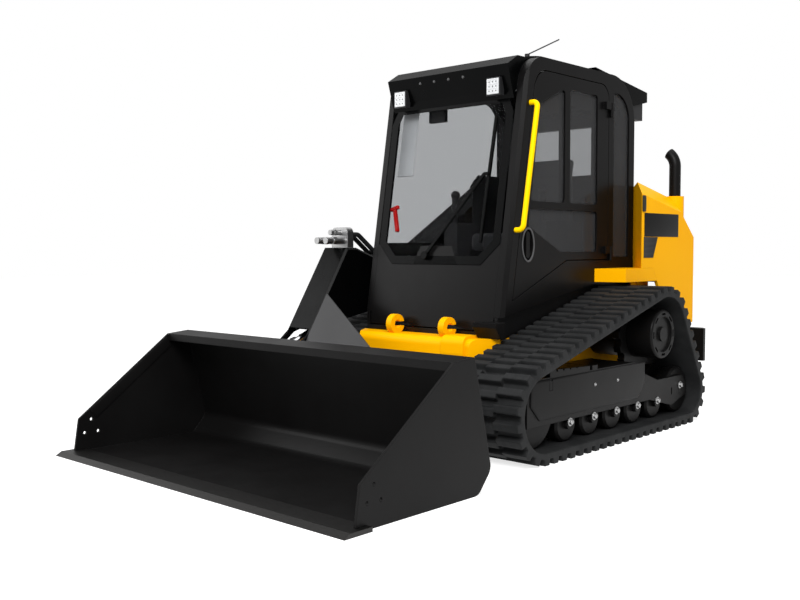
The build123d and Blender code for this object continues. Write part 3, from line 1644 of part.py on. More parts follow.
hose_start_y = block_front_y + coupler_block + fit_gap
hose_rest = hose_radius + fit_gap
with BuildPart() as hoses:
    for x in (-hose_spread, hose_spread):
        with BuildLine() as hose_path:
            FilletPolyline(
                (boom_mid_x + x, hose_start_y, knee_z + hose_rise),
                (boom_mid_x + x, hose_start_y + hose_bend, knee_z + hose_rise),
                (boom_mid_x + x, saddle_y + hose_bend, arm_top_z(saddle_y + hose_bend) + hose_rest),
                (boom_mid_x + x, arm_break_y - hose_bend, arm_top_z(arm_break_y - hose_bend) + hose_rest),
                radius=hose_bend / 2,
            )
        with BuildSketch(Plane(origin=hose_path.line @ 0, z_dir=hose_path.line % 0)):
            Circle(hose_radius)
        sweep(path=hose_path.line)
finish(hoses, "boom_hoses")

# Clamp that takes the hoses into the arm
clamp_y = arm_break_y - hose_bend + hose_rest * arm_rise + fit_gap
clamp_plane = Plane(
    origin=(boom_mid_x, clamp_y, arm_top_z(clamp_y) + fit_gap), x_dir=(1, 0, 0), z_dir=(0, -arm_rise, 1)
)
with BuildPart() as clamp:
    with BuildSketch(clamp_plane):
        with Locations((0, clamp_length / 2)):
            Rectangle(2 * hose_spread + 4 * hose_radius, clamp_length)
    extrude(amount=3 * hose_radius)
    fillet(clamp.edges().filter_by(Axis.X).group_by(Axis.Z)[-1], hose_radius)
finish(clamp, "hose_clamp")


# Cylinders: barrel with an eye at its base, rod with an eye and its own pin
def cylinder_plane(x, base, eye):
    return Plane(
        origin=(x, base[0], base[1]), x_dir=(1, 0, 0), z_dir=(0, eye[0] - base[0], eye[1] - base[1])
    )


def eye_plane(plane, reach):
    return Plane(plane.offset(reach).origin, x_dir=plane.z_dir, z_dir=plane.x_dir)


def cylinder_barrel(plane, length, radius, rod_radius):
    """Barrel with a bored eye at its base."""
    with BuildPart() as barrel:
        with BuildSketch(plane):
            Circle(radius)
        extrude(amount=length)
        with BuildSketch(eye_plane(plane, 0)):
            Circle(eye_radius)
        extrude(amount=eye_width / 2, both=True)
        with BuildSketch(eye_plane(plane, 0)):
            Circle(cylinder_pin_radius + eye_gap)
        extrude(amount=radius * 2, both=True, mode=Mode.SUBTRACT)
        with BuildSketch(plane.offset(length)):
            Circle(rod_radius + fit_gap)
        extrude(amount=-length + eye_radius + 10, mode=Mode.SUBTRACT)
    return barrel


def cylinder_rod(plane, reach, start, rod_radius, pin_length):
    """Rod with an eye that carries its own short pin."""
    with BuildPart() as rod:
        with BuildSketch(plane.offset(start)):
            Circle(rod_radius)
        extrude(amount=reach - start)
        with BuildSketch(eye_plane(plane, reach)):
            Circle(eye_radius)
        extrude(amount=eye_width / 2, both=True)
        with BuildSketch(eye_plane(plane, reach)):
            Circle(cylinder_pin_radius)
        extrude(amount=pin_length / 2 - eye_gap, both=True)
    return rod


lift_base = (lift_base_y, lift_base_z)
lift_eye = (lift_eye_y, lift_eye_z)
tilt_base = (tilt_base_y, tilt_base_z)
lift_plane = cylinder_plane(boom_mid_x, lift_base, lift_eye)
tilt_plane = cylinder_plane(boom_mid_x, tilt_base, tilt_pin)
lift_reach = hypot(lift_eye_y - lift_base_y, lift_eye_z - lift_base_z)
tilt_reach = hypot(tilt_pin[0] - tilt_base_y, tilt_pin[1] - tilt_base_z)
lug_room = 88
lift_barrel = cylinder_barrel(lift_plane, lift_barrel_length, lift_barrel_radius, lift_rod_radius)
finish(lift_barrel, "lift_cylinder_barrel")
lift_rod = cylinder_rod(
    lift_plane, lift_reach, lift_barrel_length - 480, lift_rod_radius, boom_width - 2 * boom_plate
)
finish(lift_rod, "lift_cylinder_rod")
tilt_barrel = cylinder_barrel(tilt_plane, tilt_barrel_length, tilt_barrel_radius, tilt_rod_radius)
finish(tilt_barrel, "tilt_cylinder_barrel")
tilt_rod = cylinder_rod(tilt_plane, tilt_reach, tilt_barrel_length - 300, tilt_rod_radius, lug_room)
finish(tilt_rod, "tilt_cylinder_rod")

# Quick hitch behind the bucket
back_length = hypot(bucket_top_y - bucket_back_y, bucket_top_z - bucket_back_z)
back_dir = ((bucket_top_y - bucket_back_y) / back_length, (bucket_top_z - bucket_back_z) / back_length)
back_plane = Plane(
    origin=(0, bucket_back_y, bucket_back_z), x_dir=(1, 0, 0), z_dir=(0, back_dir[1], -back_dir[0])
)
hitch_plate = 24
hitch_low = 20
hitch_high = 420


def on_back(along, out):
    """Point at a distance up the bucket's back and out behind it."""
    return (
        bucket_back_y + along * back_dir[0] + out * back_dir[1],
        bucket_back_z + along * back_dir[1] - out * back_dir[0],
    )


with BuildPart() as hitch:
    with BuildSketch(Plane.YZ.offset(boom_outer_x + boom_plate)):
        Polygon(
            on_back(hitch_low, 0), on_back(hitch_high, 0),
            on_back(hitch_high, hitch_plate), on_back(hitch_low, hitch_plate),
        )
    extrude(amount=600 - boom_outer_x)
    lug_thickness = (boom_width - 2 * boom_plate - lug_room) / 2 - 5
    lug_spans = [
        (boom_mid_x + lug_room / 2, lug_thickness),
        (boom_mid_x - lug_room / 2, -lug_thickness),
    ]
    for x, amount in lug_spans:
        with BuildSketch(Plane.YZ.offset(x)):
            with BuildLine():
                Polyline(on_back(30, 1), on_back(300, 1), tilt_pin, hitch_pin, close=True)
            make_face()
            with Locations(hitch_pin):
                Circle(hitch_boss - 10)
            with Locations(tilt_pin):
                Circle(eye_radius - 4)
        extrude(amount=amount)
        with BuildSketch(Plane.YZ.offset(x)):
            with Locations(hitch_pin):
                Circle(hitch_pin_radius)
        extrude(amount=amount * (1 + (boom_plate + 5) / lug_thickness))
    with BuildSketch(Plane.YZ.offset(left_ear_x - boom_plate - 5)):
        with BuildLine():
            Polyline(on_back(30, 1), on_back(200, 1), hitch_pin, close=True)
        make_face()
        with Locations(hitch_pin):
            Circle(hitch_boss - 10)
    extrude(amount=-(140 - boom_plate - 10))
    with BuildSketch(Plane.YZ.offset(left_ear_x)):
        with Locations(hitch_pin):
            Circle(hitch_pin_radius)
    extrude(amount=-140 - boom_plate)
finish(hitch, "quick_hitch")

# Bucket: one bent plate from the edge to the folded lip, between two cheeks
def bucket_cheek():
    with BuildSketch() as cheek:
        Polygon(
            (edge_rear_y, 0),
            (edge_rear_y, edge_thickness),
            (edge_rear_y - cheek_toe, edge_thickness),
            (bucket_knee_y, bucket_knee_z),
            (bucket_cheek_y, bucket_cheek_z),
            (bucket_top_y, bucket_top_z),
            (bucket_back_y, bucket_back_z),
            (bucket_heel_y, 0),
        )
        for corner in ((bucket_heel_y, 0), (bucket_back_y, bucket_back_z)):
            fillet(cheek.vertices().sort_by_distance((*corner, 0))[0], bucket_heel_round)
        with Locations((cutter_hole_y, cutter_hole_z)):
            with PolarLocations(cutter_hole_circle / 2, 3, start_angle=90):
                Circle(cutter_hole_radius, mode=Mode.SUBTRACT)
    return cheek.sketch


with BuildPart() as bucket:
    with BuildSketch(Plane.YZ.offset(-bucket_half_width)):
        with BuildLine():
            FilletPolyline(
                (edge_rear_y, 0),
                (bucket_heel_y, 0),
                (bucket_back_y, bucket_back_z),
                (bucket_top_y, bucket_top_z),
                radius=bucket_heel_round,
            )
            Polyline(
                (bucket_top_y, bucket_top_z),
                (bucket_cheek_y, bucket_cheek_z),
                (bucket_cheek_y, bucket_cheek_z - lip_fold),
            )
            offset(amount=bucket_plate, side=Side.RIGHT)
        make_face()
    extrude(amount=2 * bucket_half_width)
    for x in (-bucket_half_width, bucket_half_width - bucket_plate):
        with BuildSketch(Plane.YZ.offset(x)):
            add(bucket_cheek())
        extrude(amount=bucket_plate)
finish(bucket, "bucket_shell")

with BuildPart() as cutting_edge:
    with BuildSketch(Plane.YZ.offset(-edge_half_width)):
        Polygon(
            (edge_front_y, 0),
            (edge_front_y + 34, edge_thickness),
            (edge_rear_y, edge_thickness),
            (edge_rear_y, 0),
        )
    extrude(amount=2 * edge_half_width)
finish(cutting_edge, "cutting_edge")
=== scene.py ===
import bpy
import json
from math import atan, cos, radians
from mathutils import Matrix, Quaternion, Vector


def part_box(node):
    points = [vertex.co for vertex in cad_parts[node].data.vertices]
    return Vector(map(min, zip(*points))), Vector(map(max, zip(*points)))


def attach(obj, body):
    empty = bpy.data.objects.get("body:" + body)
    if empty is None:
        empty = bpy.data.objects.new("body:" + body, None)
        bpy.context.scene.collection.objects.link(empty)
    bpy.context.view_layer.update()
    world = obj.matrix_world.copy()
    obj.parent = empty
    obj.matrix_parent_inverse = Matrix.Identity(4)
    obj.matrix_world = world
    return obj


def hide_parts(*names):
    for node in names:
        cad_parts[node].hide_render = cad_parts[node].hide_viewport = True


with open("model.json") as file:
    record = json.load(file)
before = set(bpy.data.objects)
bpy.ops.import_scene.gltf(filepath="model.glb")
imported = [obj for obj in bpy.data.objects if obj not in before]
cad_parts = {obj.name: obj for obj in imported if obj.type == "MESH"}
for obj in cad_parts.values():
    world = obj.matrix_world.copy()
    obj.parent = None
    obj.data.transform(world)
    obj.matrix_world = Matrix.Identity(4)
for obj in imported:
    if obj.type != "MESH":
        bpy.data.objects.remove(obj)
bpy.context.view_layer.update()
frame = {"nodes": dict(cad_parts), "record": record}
print("frame loaded:", len(frame["nodes"]), "nodes")


# Materials

def newMaterial(name, settings):
    material = bpy.data.materials.new(name)
    material.use_nodes = True
    shader = material.node_tree.nodes["Principled BSDF"]
    for socket, value in settings.items():
        shader.inputs[socket].default_value = value
    return material, material.node_tree, shader


def objectPoint(tree, scale=(1, 1, 1)):
    place = tree.nodes.new("ShaderNodeTexCoord")
    mapping = tree.nodes.new("ShaderNodeMapping")
    mapping.inputs["Scale"].default_value = scale
    tree.links.new(place.outputs["Object"], mapping.inputs["Vector"])
    return mapping.outputs["Vector"]


def noise(tree, scale, detail=4, stretch=(1, 1, 1)):
    texture = tree.nodes.new("ShaderNodeTexNoise")
    texture.inputs["Scale"].default_value = scale
    texture.inputs["Detail"].default_value = detail
    tree.links.new(objectPoint(tree, stretch), texture.inputs["Vector"])
    return texture.outputs["Fac"]


def ramp(tree, value, stops):
    colours = tree.nodes.new("ShaderNodeValToRGB")
    band = colours.color_ramp
    while len(band.elements) < len(stops):
        band.elements.new(0.5)
    for element, (position, colour) in zip(band.elements, stops):
        element.position = position
        element.color = (*colour, 1)
    tree.links.new(value, colours.inputs["Fac"])
    return colours.outputs["Color"]


def roughnessBand(tree, shader, value, low, high):
    spread = tree.nodes.new("ShaderNodeMapRange")
    spread.inputs["To Min"].default_value = low
    spread.inputs["To Max"].default_value = high
    tree.links.new(value, spread.inputs["Value"])
    tree.links.new(spread.outputs["Result"], shader.inputs["Roughness"])


def surfaceBump(tree, shader, value, strength, distance, edge=0.0):
    bump = tree.nodes.new("ShaderNodeBump")
    bump.inputs["Strength"].default_value = strength
    bump.inputs["Distance"].default_value = distance
    tree.links.new(value, bump.inputs["Height"])
    if edge:  # softens the sharp edges of pressed and welded plate
        soft = tree.nodes.new("ShaderNodeBevel")
        soft.samples = 4
        soft.inputs["Radius"].default_value = edge
        tree.links.new(soft.outputs["Normal"], bump.inputs["Normal"])
    tree.links.new(bump.outputs["Normal"], shader.inputs["Normal"])


# Paint: broad patches of tone, bands of gloss, a fine peel and softened plate edges
paintGrain = {
    "patchScale": 2.2,
    "glossScale": 9,
    "peelScale": 420,
    "peelStrength": 0.06,
    "peelDepth": 0.0004,
    "edgeRadius": 0.004,
}


def paintSurface(tree, shader, smoothest, roughest):
    grain = paintGrain
    roughnessBand(tree, shader, noise(tree, grain["glossScale"], 3), smoothest, roughest)
    peel = noise(tree, grain["peelScale"], 2)
    surfaceBump(tree, shader, peel, grain["peelStrength"], grain["peelDepth"], grain["edgeRadius"])


def paint(name, dark, light, rough, coat=0.0, gloss=0.5):
    material, tree, shader = newMaterial(
        name, {"Specular IOR Level": gloss, "Coat Weight": coat, "Coat Roughness": 0.12}
    )
    patches = noise(tree, paintGrain["patchScale"], 5)
    tone = ramp(tree, patches, [(0.3, dark), (0.7, light)])
    tree.links.new(tone, shader.inputs["Base Color"])
    paintSurface(tree, shader, rough - 0.05, rough + 0.07)
    return material


def twoTone(name, upper, lower, rise, height):
    material, tree, shader = newMaterial(name, {"Specular IOR Level": 0.25})
    axes = tree.nodes.new("ShaderNodeSeparateXYZ")
    tree.links.new(objectPoint(tree), axes.inputs["Vector"])
    slope = tree.nodes.new("ShaderNodeMath")
    slope.operation = "MULTIPLY_ADD"  # height of a point over the slanting colour line
    slope.inputs[1].default_value = -rise
    tree.links.new(axes.outputs["Y"], slope.inputs[0])
    tree.links.new(axes.outputs["Z"], slope.inputs[2])
    blend = 0.001  # half the width of the colour line
    tone = ramp(tree, slope.outputs["Value"], [(height - blend, lower), (height + blend, upper)])
    tree.links.new(tone, shader.inputs["Base Color"])
    paintSurface(tree, shader, 0.3, 0.42)
    return material


trackRubber = {
    "bare": (0.008, 0.0085, 0.009),
    "dusty": (0.019, 0.0195, 0.02),
    "smoothest": 0.55,
    "roughest": 0.8,
    "bumpStrength": 0.25,
    "bumpDepth": 0.0012,
    "edgeRadius": 0.014,
}


def rubberMaterial():
    look = trackRubber
    material, tree, shader = newMaterial("trackRubber", {"Specular IOR Level": 0.2})
    tone = ramp(tree, noise(tree, 7, 6), [(0.35, look["bare"]), (0.75, look["dusty"])])
    tree.links.new(tone, shader.inputs["Base Color"])
    roughnessBand(tree, shader, noise(tree, 30, 3), look["smoothest"], look["roughest"])
    lumps = noise(tree, 160, 4)
    surfaceBump(tree, shader, lumps, look["bumpStrength"], look["bumpDepth"], look["edgeRadius"])
    return material


def glassMaterial(name, clear, haze, shine):
    material, tree, shader = newMaterial(
        name, {"Base Color": (*haze, 1), "Specular IOR Level": 0.4}
    )
    roughnessBand(tree, shader, noise(tree, 3, 2), 0.02, 0.05)
    through = tree.nodes.new("ShaderNodeBsdfTransparent")
    through.inputs["Color"].default_value = (*clear, 1)
    mixed = tree.nodes.new("ShaderNodeMixShader")
    mixed.inputs["Fac"].default_value = shine
    tree.links.new(through.outputs["BSDF"], mixed.inputs[1])
    tree.links.new(shader.outputs["BSDF"], mixed.inputs[2])
    tree.links.new(mixed.outputs["Shader"], tree.nodes["Material Output"].inputs["Surface"])
    return material


def steelMaterial(name, colour, rough):
    material, tree, shader = newMaterial(name, {"Metallic": 1.0})
    grain = noise(tree, 60, 4, (1, 1, 6))
    dull = [0.82 * channel for channel in colour]
    tone = ramp(tree, grain, [(0.3, dull), (0.7, colour)])
    tree.links.new(tone, shader.inputs["Base Color"])
    roughnessBand(tree, shader, grain, rough - 0.05, rough + 0.08)
    surfaceBump(tree, shader, noise(tree, 300, 2), 0.05, 0.0003, 0.002)
    return material


seatCloth = {
    "dark": (0.012, 0.012, 0.014),
    "light": (0.035, 0.035, 0.038),
    "weaveScale": 160,
    "bumpStrength": 0.3,
    "bumpDepth": 0.0008,
}


def fabricMaterial():
    look = seatCloth
    material, tree, shader = newMaterial("seatFabric", {"Sheen Weight": 0.25, "Roughness": 0.9})
    weave = tree.nodes.new("ShaderNodeTexWave")
    weave.inputs["Scale"].default_value = look["weaveScale"]
    tree.links.new(objectPoint(tree), weave.inputs["Vector"])
    tone = ramp(tree, weave.outputs["Fac"], [(0.2, look["dark"]), (0.8, look["light"])])
    tree.links.new(tone, shader.inputs["Base Color"])
    surfaceBump(tree, shader, weave.outputs["Fac"], look["bumpStrength"], look["bumpDepth"])
    return material


# Each paint has its darkest and lightest tone and its roughness
finishes = {
    "cabBlack": paint(
        "cabBlack", (0.0028, 0.0026, 0.0027), (0.0042, 0.004, 0.0041), 0.3, gloss=0.1
    ),
    "deepBlack": paint(
        "deepBlack", (0.0008, 0.0009, 0.001), (0.0015, 0.0016, 0.0017), 0.25, gloss=0.05
    ),
    "frameBlack": paint(
        "frameBlack", (0.004, 0.0038, 0.0038), (0.0062, 0.006, 0.006), 0.38, gloss=0.1
    ),
    "bodyYellow": paint("bodyYellow", (1.0, 0.45, 0.0), (1.0, 0.475, 0.0), 0.34, gloss=0.04),
    "barYellow": paint("barYellow", (1.0, 0.58, 0.0), (1.0, 0.62, 0.0), 0.34, gloss=0.04),
    "tubPaint": twoTone(
        "tubPaint", (0.003, 0.003, 0.0032), (1.0, 0.45, 0.0), rise=0.16, height=0.6
    ),
    "rubber": rubberMaterial(),
    "screenGlass": glassMaterial(
        "screenGlass", clear=(0.79, 0.795, 0.8), haze=(0.01, 0.011, 0.012), shine=0.025
    ),
    "doorGlass": glassMaterial(
        "doorGlass", clear=(0.75, 0.755, 0.76), haze=(0.12, 0.12, 0.123), shine=0.2
    ),
    "plated": steelMaterial("platedSteel", (0.45, 0.45, 0.45), 0.3),
    # painted highlight: the gusset on the boom's cross-tube is painted lighter grey for its face
    # catching the light
    "gussetLitGrey": paint("gussetLitGrey", (0.03, 0.03, 0.031), (0.04, 0.04, 0.041), 0.4, gloss=0.2),
    "zinc": steelMaterial("zincBolt", (0.4, 0.4, 0.4), 0.36),
    "chrome": steelMaterial("chromeRod", (0.55, 0.55, 0.56), 0.14),
    "wornSteel": steelMaterial("edgeSteel", (0.045, 0.044, 0.043), 0.4),
    "casting": paint("engineCasting", (0.05, 0.05, 0.052), (0.085, 0.085, 0.087), 0.6),
    "grainedPlastic": paint(
        "grainedPlastic", (0.008, 0.008, 0.009), (0.015, 0.015, 0.016), 0.55, gloss=0.3
    ),
    "fabric": fabricMaterial(),
    "lampLens": paint("lampLens", (0.6, 0.61, 0.62), (0.66, 0.67, 0.68), 0.15, coat=0.3),
    "lampCell": paint("lampCell", (0.03, 0.031, 0.033), (0.05, 0.051, 0.053), 0.2, coat=0.3),
    "signalRed": paint("signalRed", (0.9, 0.01, 0.01), (1.0, 0.014, 0.012), 0.3, gloss=0.2),
    "blindCloth": paint("blindCloth", (0.62, 0.63, 0.64), (0.72, 0.73, 0.74), 0.7),
}
slotFinishes = {
    "rubber": "rubber",
    "frame_black": "frameBlack",
    "cab_black": "cabBlack",
    "yellow": "bodyYellow",
    "bar_yellow": "barYellow",
    "glass": "screenGlass",
    "lamp": "lampLens",
    "seat_fabric": "fabric",
    "plastic": "grainedPlastic",
    "engine_grey": "casting",
    "edge_steel": "wornSteel",
    "steel": "plated",
    "chrome_rod": "chrome",
}
nodeFinishes = {
    "door_glass": "doorGlass",
    "quarter_glass": "doorGlass",
    "chassis_tub": "tubPaint",
    "boom_arm": "deepBlack",
    # the cross-tube wears the lighter grey of the painted highlight on its gusset face
    "boom_crosstube": "gussetLitGrey",
    "hydraulic_couplers": "zinc",
    "roof_visor": "deepBlack",
    "cab_roof": "deepBlack",
    "windscreen_wiper": "deepBlack",
    "work_lights": "grainedPlastic",
    "rear_work_lights": "grainedPlastic",
}


def wear(obj, finish):
    obj.data.materials.clear()
    obj.data.materials.append(finishes[finish])


for row in frame["record"]["subparts"]:
    node = row["node"]
    wear(frame["nodes"][node], nodeFinishes.get(node, slotFinishes[row["material_slot"]]))
print("finishes set on the solids")


# Shaping helpers

squareOn = 0.99  # least cosine at which a face counts as looking along a direction
sharpAngle = radians(35)


def selectOnly(obj):
    bpy.ops.object.select_all(action="DESELECT")
    obj.select_set(True)
    bpy.context.view_layer.objects.active = obj


def freshBox(low, high):
    bpy.ops.object.select_all(action="DESELECT")
    bpy.ops.mesh.primitive_cube_add(size=1, location=[(a + b) / 2 for a, b in zip(low, high)])
    box = bpy.context.object
    box.scale = [b - a for a, b in zip(low, high)]
    bpy.ops.object.transform_apply()
    return box


def freshDisc(centre, radius, depth, axis, sides=32):
    turn = Vector((0, 0, 1)).rotation_difference(Vector(axis)).to_euler()
    bpy.ops.object.select_all(action="DESELECT")
    bpy.ops.mesh.primitive_cylinder_add(
        radius=radius, depth=depth, vertices=sides, location=centre, rotation=turn
    )
    bpy.ops.object.transform_apply()
    return bpy.context.object


def pickFaces(obj, test):
    bpy.ops.object.mode_set(mode="OBJECT")
    bpy.context.tool_settings.mesh_select_mode = (False, False, True)
    for part in (*obj.data.vertices, *obj.data.edges):
        part.select = False
    for face in obj.data.polygons:
        face.select = test(face)
    bpy.ops.object.mode_set(mode="EDIT")


def looksAlong(*direction):
    return lambda face: face.normal.dot(Vector(direction).normalized()) > squareOn


def looksEitherWay(*direction):
    return lambda face: abs(face.normal.dot(Vector(direction))) > squareOn


def extrudeOut(distance):
    bpy.ops.mesh.extrude_region_shrink_fatten(TRANSFORM_OT_shrink_fatten={"value": distance})


def faceOutwards():
    bpy.ops.mesh.select_all(action="SELECT")
    bpy.ops.mesh.normals_make_consistent(inside=False)


def openMiddle(width):  # from two opposite faces, a frame of this width
    bpy.ops.mesh.inset(thickness=width)
    bpy.ops.mesh.bridge_edge_loops()
    faceOutwards()


def cutCorner(point, outwards):
    bpy.ops.object.mode_set(mode="EDIT")
    bpy.ops.mesh.select_all(action="SELECT")
    bpy.ops.mesh.bisect(plane_co=point, plane_no=outwards, use_fill=True, clear_outer=True)
    bpy.ops.object.mode_set(mode="OBJECT")


def softenEdges(obj, width, steps=2):
    bpy.ops.object.mode_set(mode="OBJECT")
    soft = obj.modifiers.new("soft", "BEVEL")
    soft.width = width
    soft.segments = steps
    soft.limit_method = "ANGLE"
    soft.angle_limit = sharpAngle
    bpy.ops.object.modifier_apply(modifier=soft.name)
    bpy.ops.object.shade_smooth_by_angle(angle=sharpAngle)


def turnPiece(obj, place, turn):
    bpy.ops.object.mode_set(mode="OBJECT")
    obj.location = place
    obj.rotation_euler = turn
    bpy.ops.object.transform_apply()


def joinPieces(objs):
    bpy.ops.object.select_all(action="DESELECT")
    for obj in objs:
        obj.select_set(True)
    bpy.context.view_layer.objects.active = objs[0]
    bpy.ops.object.join()
    return objs[0]


def repeatAt(obj, shifts):
    copies = [obj]
    for shift in shifts:
        selectOnly(obj)
        bpy.ops.object.duplicate()
        bpy.context.object.location = shift
        bpy.ops.object.transform_apply()
        copies.append(bpy.context.object)
    return joinPieces(copies)


def mirrorSide(obj):
    selectOnly(obj)
    bpy.ops.object.duplicate()
    twin = bpy.context.object
    twin.scale = (-1, 1, 1)
    bpy.ops.object.transform_apply()
    bpy.ops.object.mode_set(mode="EDIT")
    faceOutwards()
    bpy.ops.object.mode_set(mode="OBJECT")
    return twin


def fitPiece(obj, name, body, finish):
    obj.name = obj.data.name = name
    wear(obj, finish)
    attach(obj, body)


def fitPair(obj, name, body, finish):  # a left piece and its twin on the right
    pair = ((mirrorSide(obj), "_right"), (obj, "_left"))
    for piece, side in pair:
        fitPiece(piece, name + side, body, finish)
    return [piece for piece, side in pair]


# Windscreen border, printed black around the glass

cabFront = {"foot": (0, -0.13, 0.637), "lean": atan(0.165)}


def upFront(z):
    return (z - cabFront["foot"][2]) / cos(cabFront["lean"])


screenBorder = {
    "half": 0.462,
    "low": upFront(1.0),
    "top": upFront(1.97),
    "lowCut": (0.34, upFront(1.12)),
    "topCut": (0.412, upFront(1.86)),
    "width": 0.052,
    "depth": 0.003,
    "humpHalf": 0.17,
    "humpTopHalf": 0.12,
    "humpTop": upFront(1.11),
    "soft": 0.0008,
}


def addScreenBorder(size):
    half, low, top, depth = size["half"], size["low"], size["top"], size["depth"]
    (lowHalf, lowEnd), (topHalf, topEnd) = size["lowCut"], size["topCut"]
    border = freshBox((-half, -depth, low), (half, 0, top))
    for side in (-1, 1):
        cutCorner((side * half, 0, lowEnd), (side * (lowEnd - low), 0, lowHalf - half))
        cutCorner((side * half, 0, topEnd), (side * (top - topEnd), 0, half - topHalf))
    pickFaces(border, looksEitherWay(0, 1, 0))
    openMiddle(size["width"])
    softenEdges(border, size["soft"], 1)
    humpHalf, humpTop = size["humpHalf"], size["humpTop"]
    hump = freshBox((-humpHalf, -depth, low), (humpHalf, 0, humpTop))
    for side in (-1, 1):
        slant = (side * (humpTop - low), 0, humpHalf - size["humpTopHalf"])
        cutCorner((side * humpHalf, 0, low), slant)
    softenEdges(hump, size["soft"], 1)
    pieces = ((border, "screen_border", "deepBlack"), (hump, "screen_border_hump", "cabBlack"))
    for piece, name, finish in pieces:
        selectOnly(piece)
        turnPiece(piece, cabFront["foot"], (-cabFront["lean"], 0, 0))
        fitPiece(piece, name, "chassis", finish)


addScreenBorder(screenBorder)

# Work lamp lenses with their rows of light cells

frontLens = {
    "side": 0.355,
    "half": 0.041,
    "low": 1.962,
    "top": 2.049,
    "face": 0.0204,
    "out": -1,
    "cuts": 2,
    "dot": 0.006,
}
rearLens = {
    "side": 0.475,
    "half": 0.021,
    "low": 1.944,
    "top": 2.04,
    "face": 1.467,
    "out": 1,
    "cuts": 1,
    "dot": 0.004,
}
lensForm = {"lift": 0.004, "rim": 0.005, "rimLift": 0.001, "bar": 0.003, "sink": 0.002}


def addLens(lens, name):
    back = lens["face"]
    front = back + lens["out"] * lensForm["lift"]
    plate = freshBox(
        (lens["side"] - lens["half"], min(front, back), lens["low"]),
        (lens["side"] + lens["half"], max(front, back), lens["top"]),
    )
    pickFaces(plate, looksAlong(0, lens["out"], 0))
    bpy.ops.mesh.inset(thickness=lensForm["rim"], depth=lensForm["rimLift"])
    bpy.ops.mesh.subdivide(number_cuts=lens["cuts"])
    bpy.ops.mesh.inset(thickness=lensForm["bar"], depth=-lensForm["sink"], use_individual=True)
    bpy.ops.mesh.inset(thickness=lens["dot"], use_individual=True)
    bpy.ops.mesh.extrude_faces_move(TRANSFORM_OT_shrink_fatten={"value": lensForm["sink"]})
    bpy.ops.object.mode_set(mode="OBJECT")
    cells = [face.index for face in plate.data.polygons if face.select]
    for piece in fitPair(plate, name, "chassis", "lampLens"):
        piece.data.materials.append(finishes["lampCell"])
        for cell in cells:
            piece.data.polygons[cell].material_index = 1


addLens(frontLens, "front_lens")
addLens(rearLens, "rear_lens")

# Hood side: louvred vent cover, bare dark plate and latch

hoodSide = 0.72
ventCover = {
    "front": 1.1,
    "low": 1.033,
    "top": 1.163,
    "lowLength": 0.12,
    "topLength": 0.178,
    "sunk": 0.001,
    "lift": 0.003,
    "louvres": 4,
    "louvreRim": 0.006,
    "louvreDepth": 0.002,
}
darkPlate = {
    "front": 1.104,
    "rear": 1.56,
    "low": 1.166,
    "top": 1.314,
    "lift": 0.002,
    "rim": 0.003,
    "crown": 0.0006,
}
hoodLatch = {
    "centre": (0.719, 1.093, 1.372),
    "length": 0.036,
    "height": 0.1,
    "lift": 0.01,
    "rim": 0.007,
    "handleLift": 0.006,
    "taper": 0.8,
}


def addVentCover(size):
    front, low, top = size["front"], size["low"], size["top"]
    cover = freshBox(
        (hoodSide - size["sunk"], front, low),
        (hoodSide + size["lift"], front + size["topLength"], top),
    )
    slant = size["topLength"] - size["lowLength"]
    cutCorner((hoodSide, front + size["lowLength"], low), (0, top - low, -slant))
    bpy.ops.object.mode_set(mode="EDIT")
    for index in range(1, size["louvres"]):
        bpy.ops.mesh.select_all(action="SELECT")
        height = low + index * (top - low) / size["louvres"]
        bpy.ops.mesh.bisect(plane_co=(0, 0, height), plane_no=(0, 0, 1))
    pickFaces(cover, looksAlong(1, 0, 0))
    bpy.ops.mesh.inset(
        thickness=size["louvreRim"], depth=-size["louvreDepth"], use_individual=True
    )
    softenEdges(cover, 0.0007, 1)
    fitPiece(cover, "vent_cover", "chassis", "grainedPlastic")


def addDarkPlate(size):
    plate = freshBox(
        (hoodSide, size["front"], size["low"]),
        (hoodSide + size["lift"], size["rear"], size["top"]),
    )
    pickFaces(plate, looksAlong(1, 0, 0))
    bpy.ops.mesh.inset(thickness=size["rim"], depth=size["crown"])
    softenEdges(plate, 0.0006, 1)
    fitPiece(plate, "hood_dark_plate", "chassis", "cabBlack")


def addHoodLatch(size):
    high, long = size["height"] / 2, size["length"] / 2
    latch = freshBox((-high, -long, 0), (high, long, size["lift"]))
    pickFaces(latch, looksAlong(0, 0, 1))
    bpy.ops.mesh.inset(thickness=size["rim"])
    extrudeOut(size["handleLift"])
    bpy.ops.transform.resize(value=(size["taper"], size["taper"], 1))
    softenEdges(latch, 0.003)
    turnPiece(latch, size["centre"], (0, radians(90), 0))
    fitPiece(latch, "hood_latch", "chassis", "grainedPlastic")


addVentCover(ventCover)
addDarkPlate(darkPlate)
addHoodLatch(hoodLatch)

# Shield inside the hood's notch, behind the fender

innerShield = {
    "low": (0.556, 1.232, 0.8),
    "high": (0.56, 1.462, 0.966),
    "rim": 0.012,
    "crown": 0.002,
}


def addInnerShield(size):
    shield = freshBox(size["low"], size["high"])
    pickFaces(shield, looksAlong(1, 0, 0))
    bpy.ops.mesh.inset(thickness=size["rim"], depth=size["crown"])
    softenEdges(shield, 0.0008)
    fitPiece(shield, "hood_inner_shield", "chassis", "bodyYellow")


addInnerShield(innerShield)
print("lamps, border and hood trim added")


# Track frames: zinc axle bolts on washers, and the raised cover plate

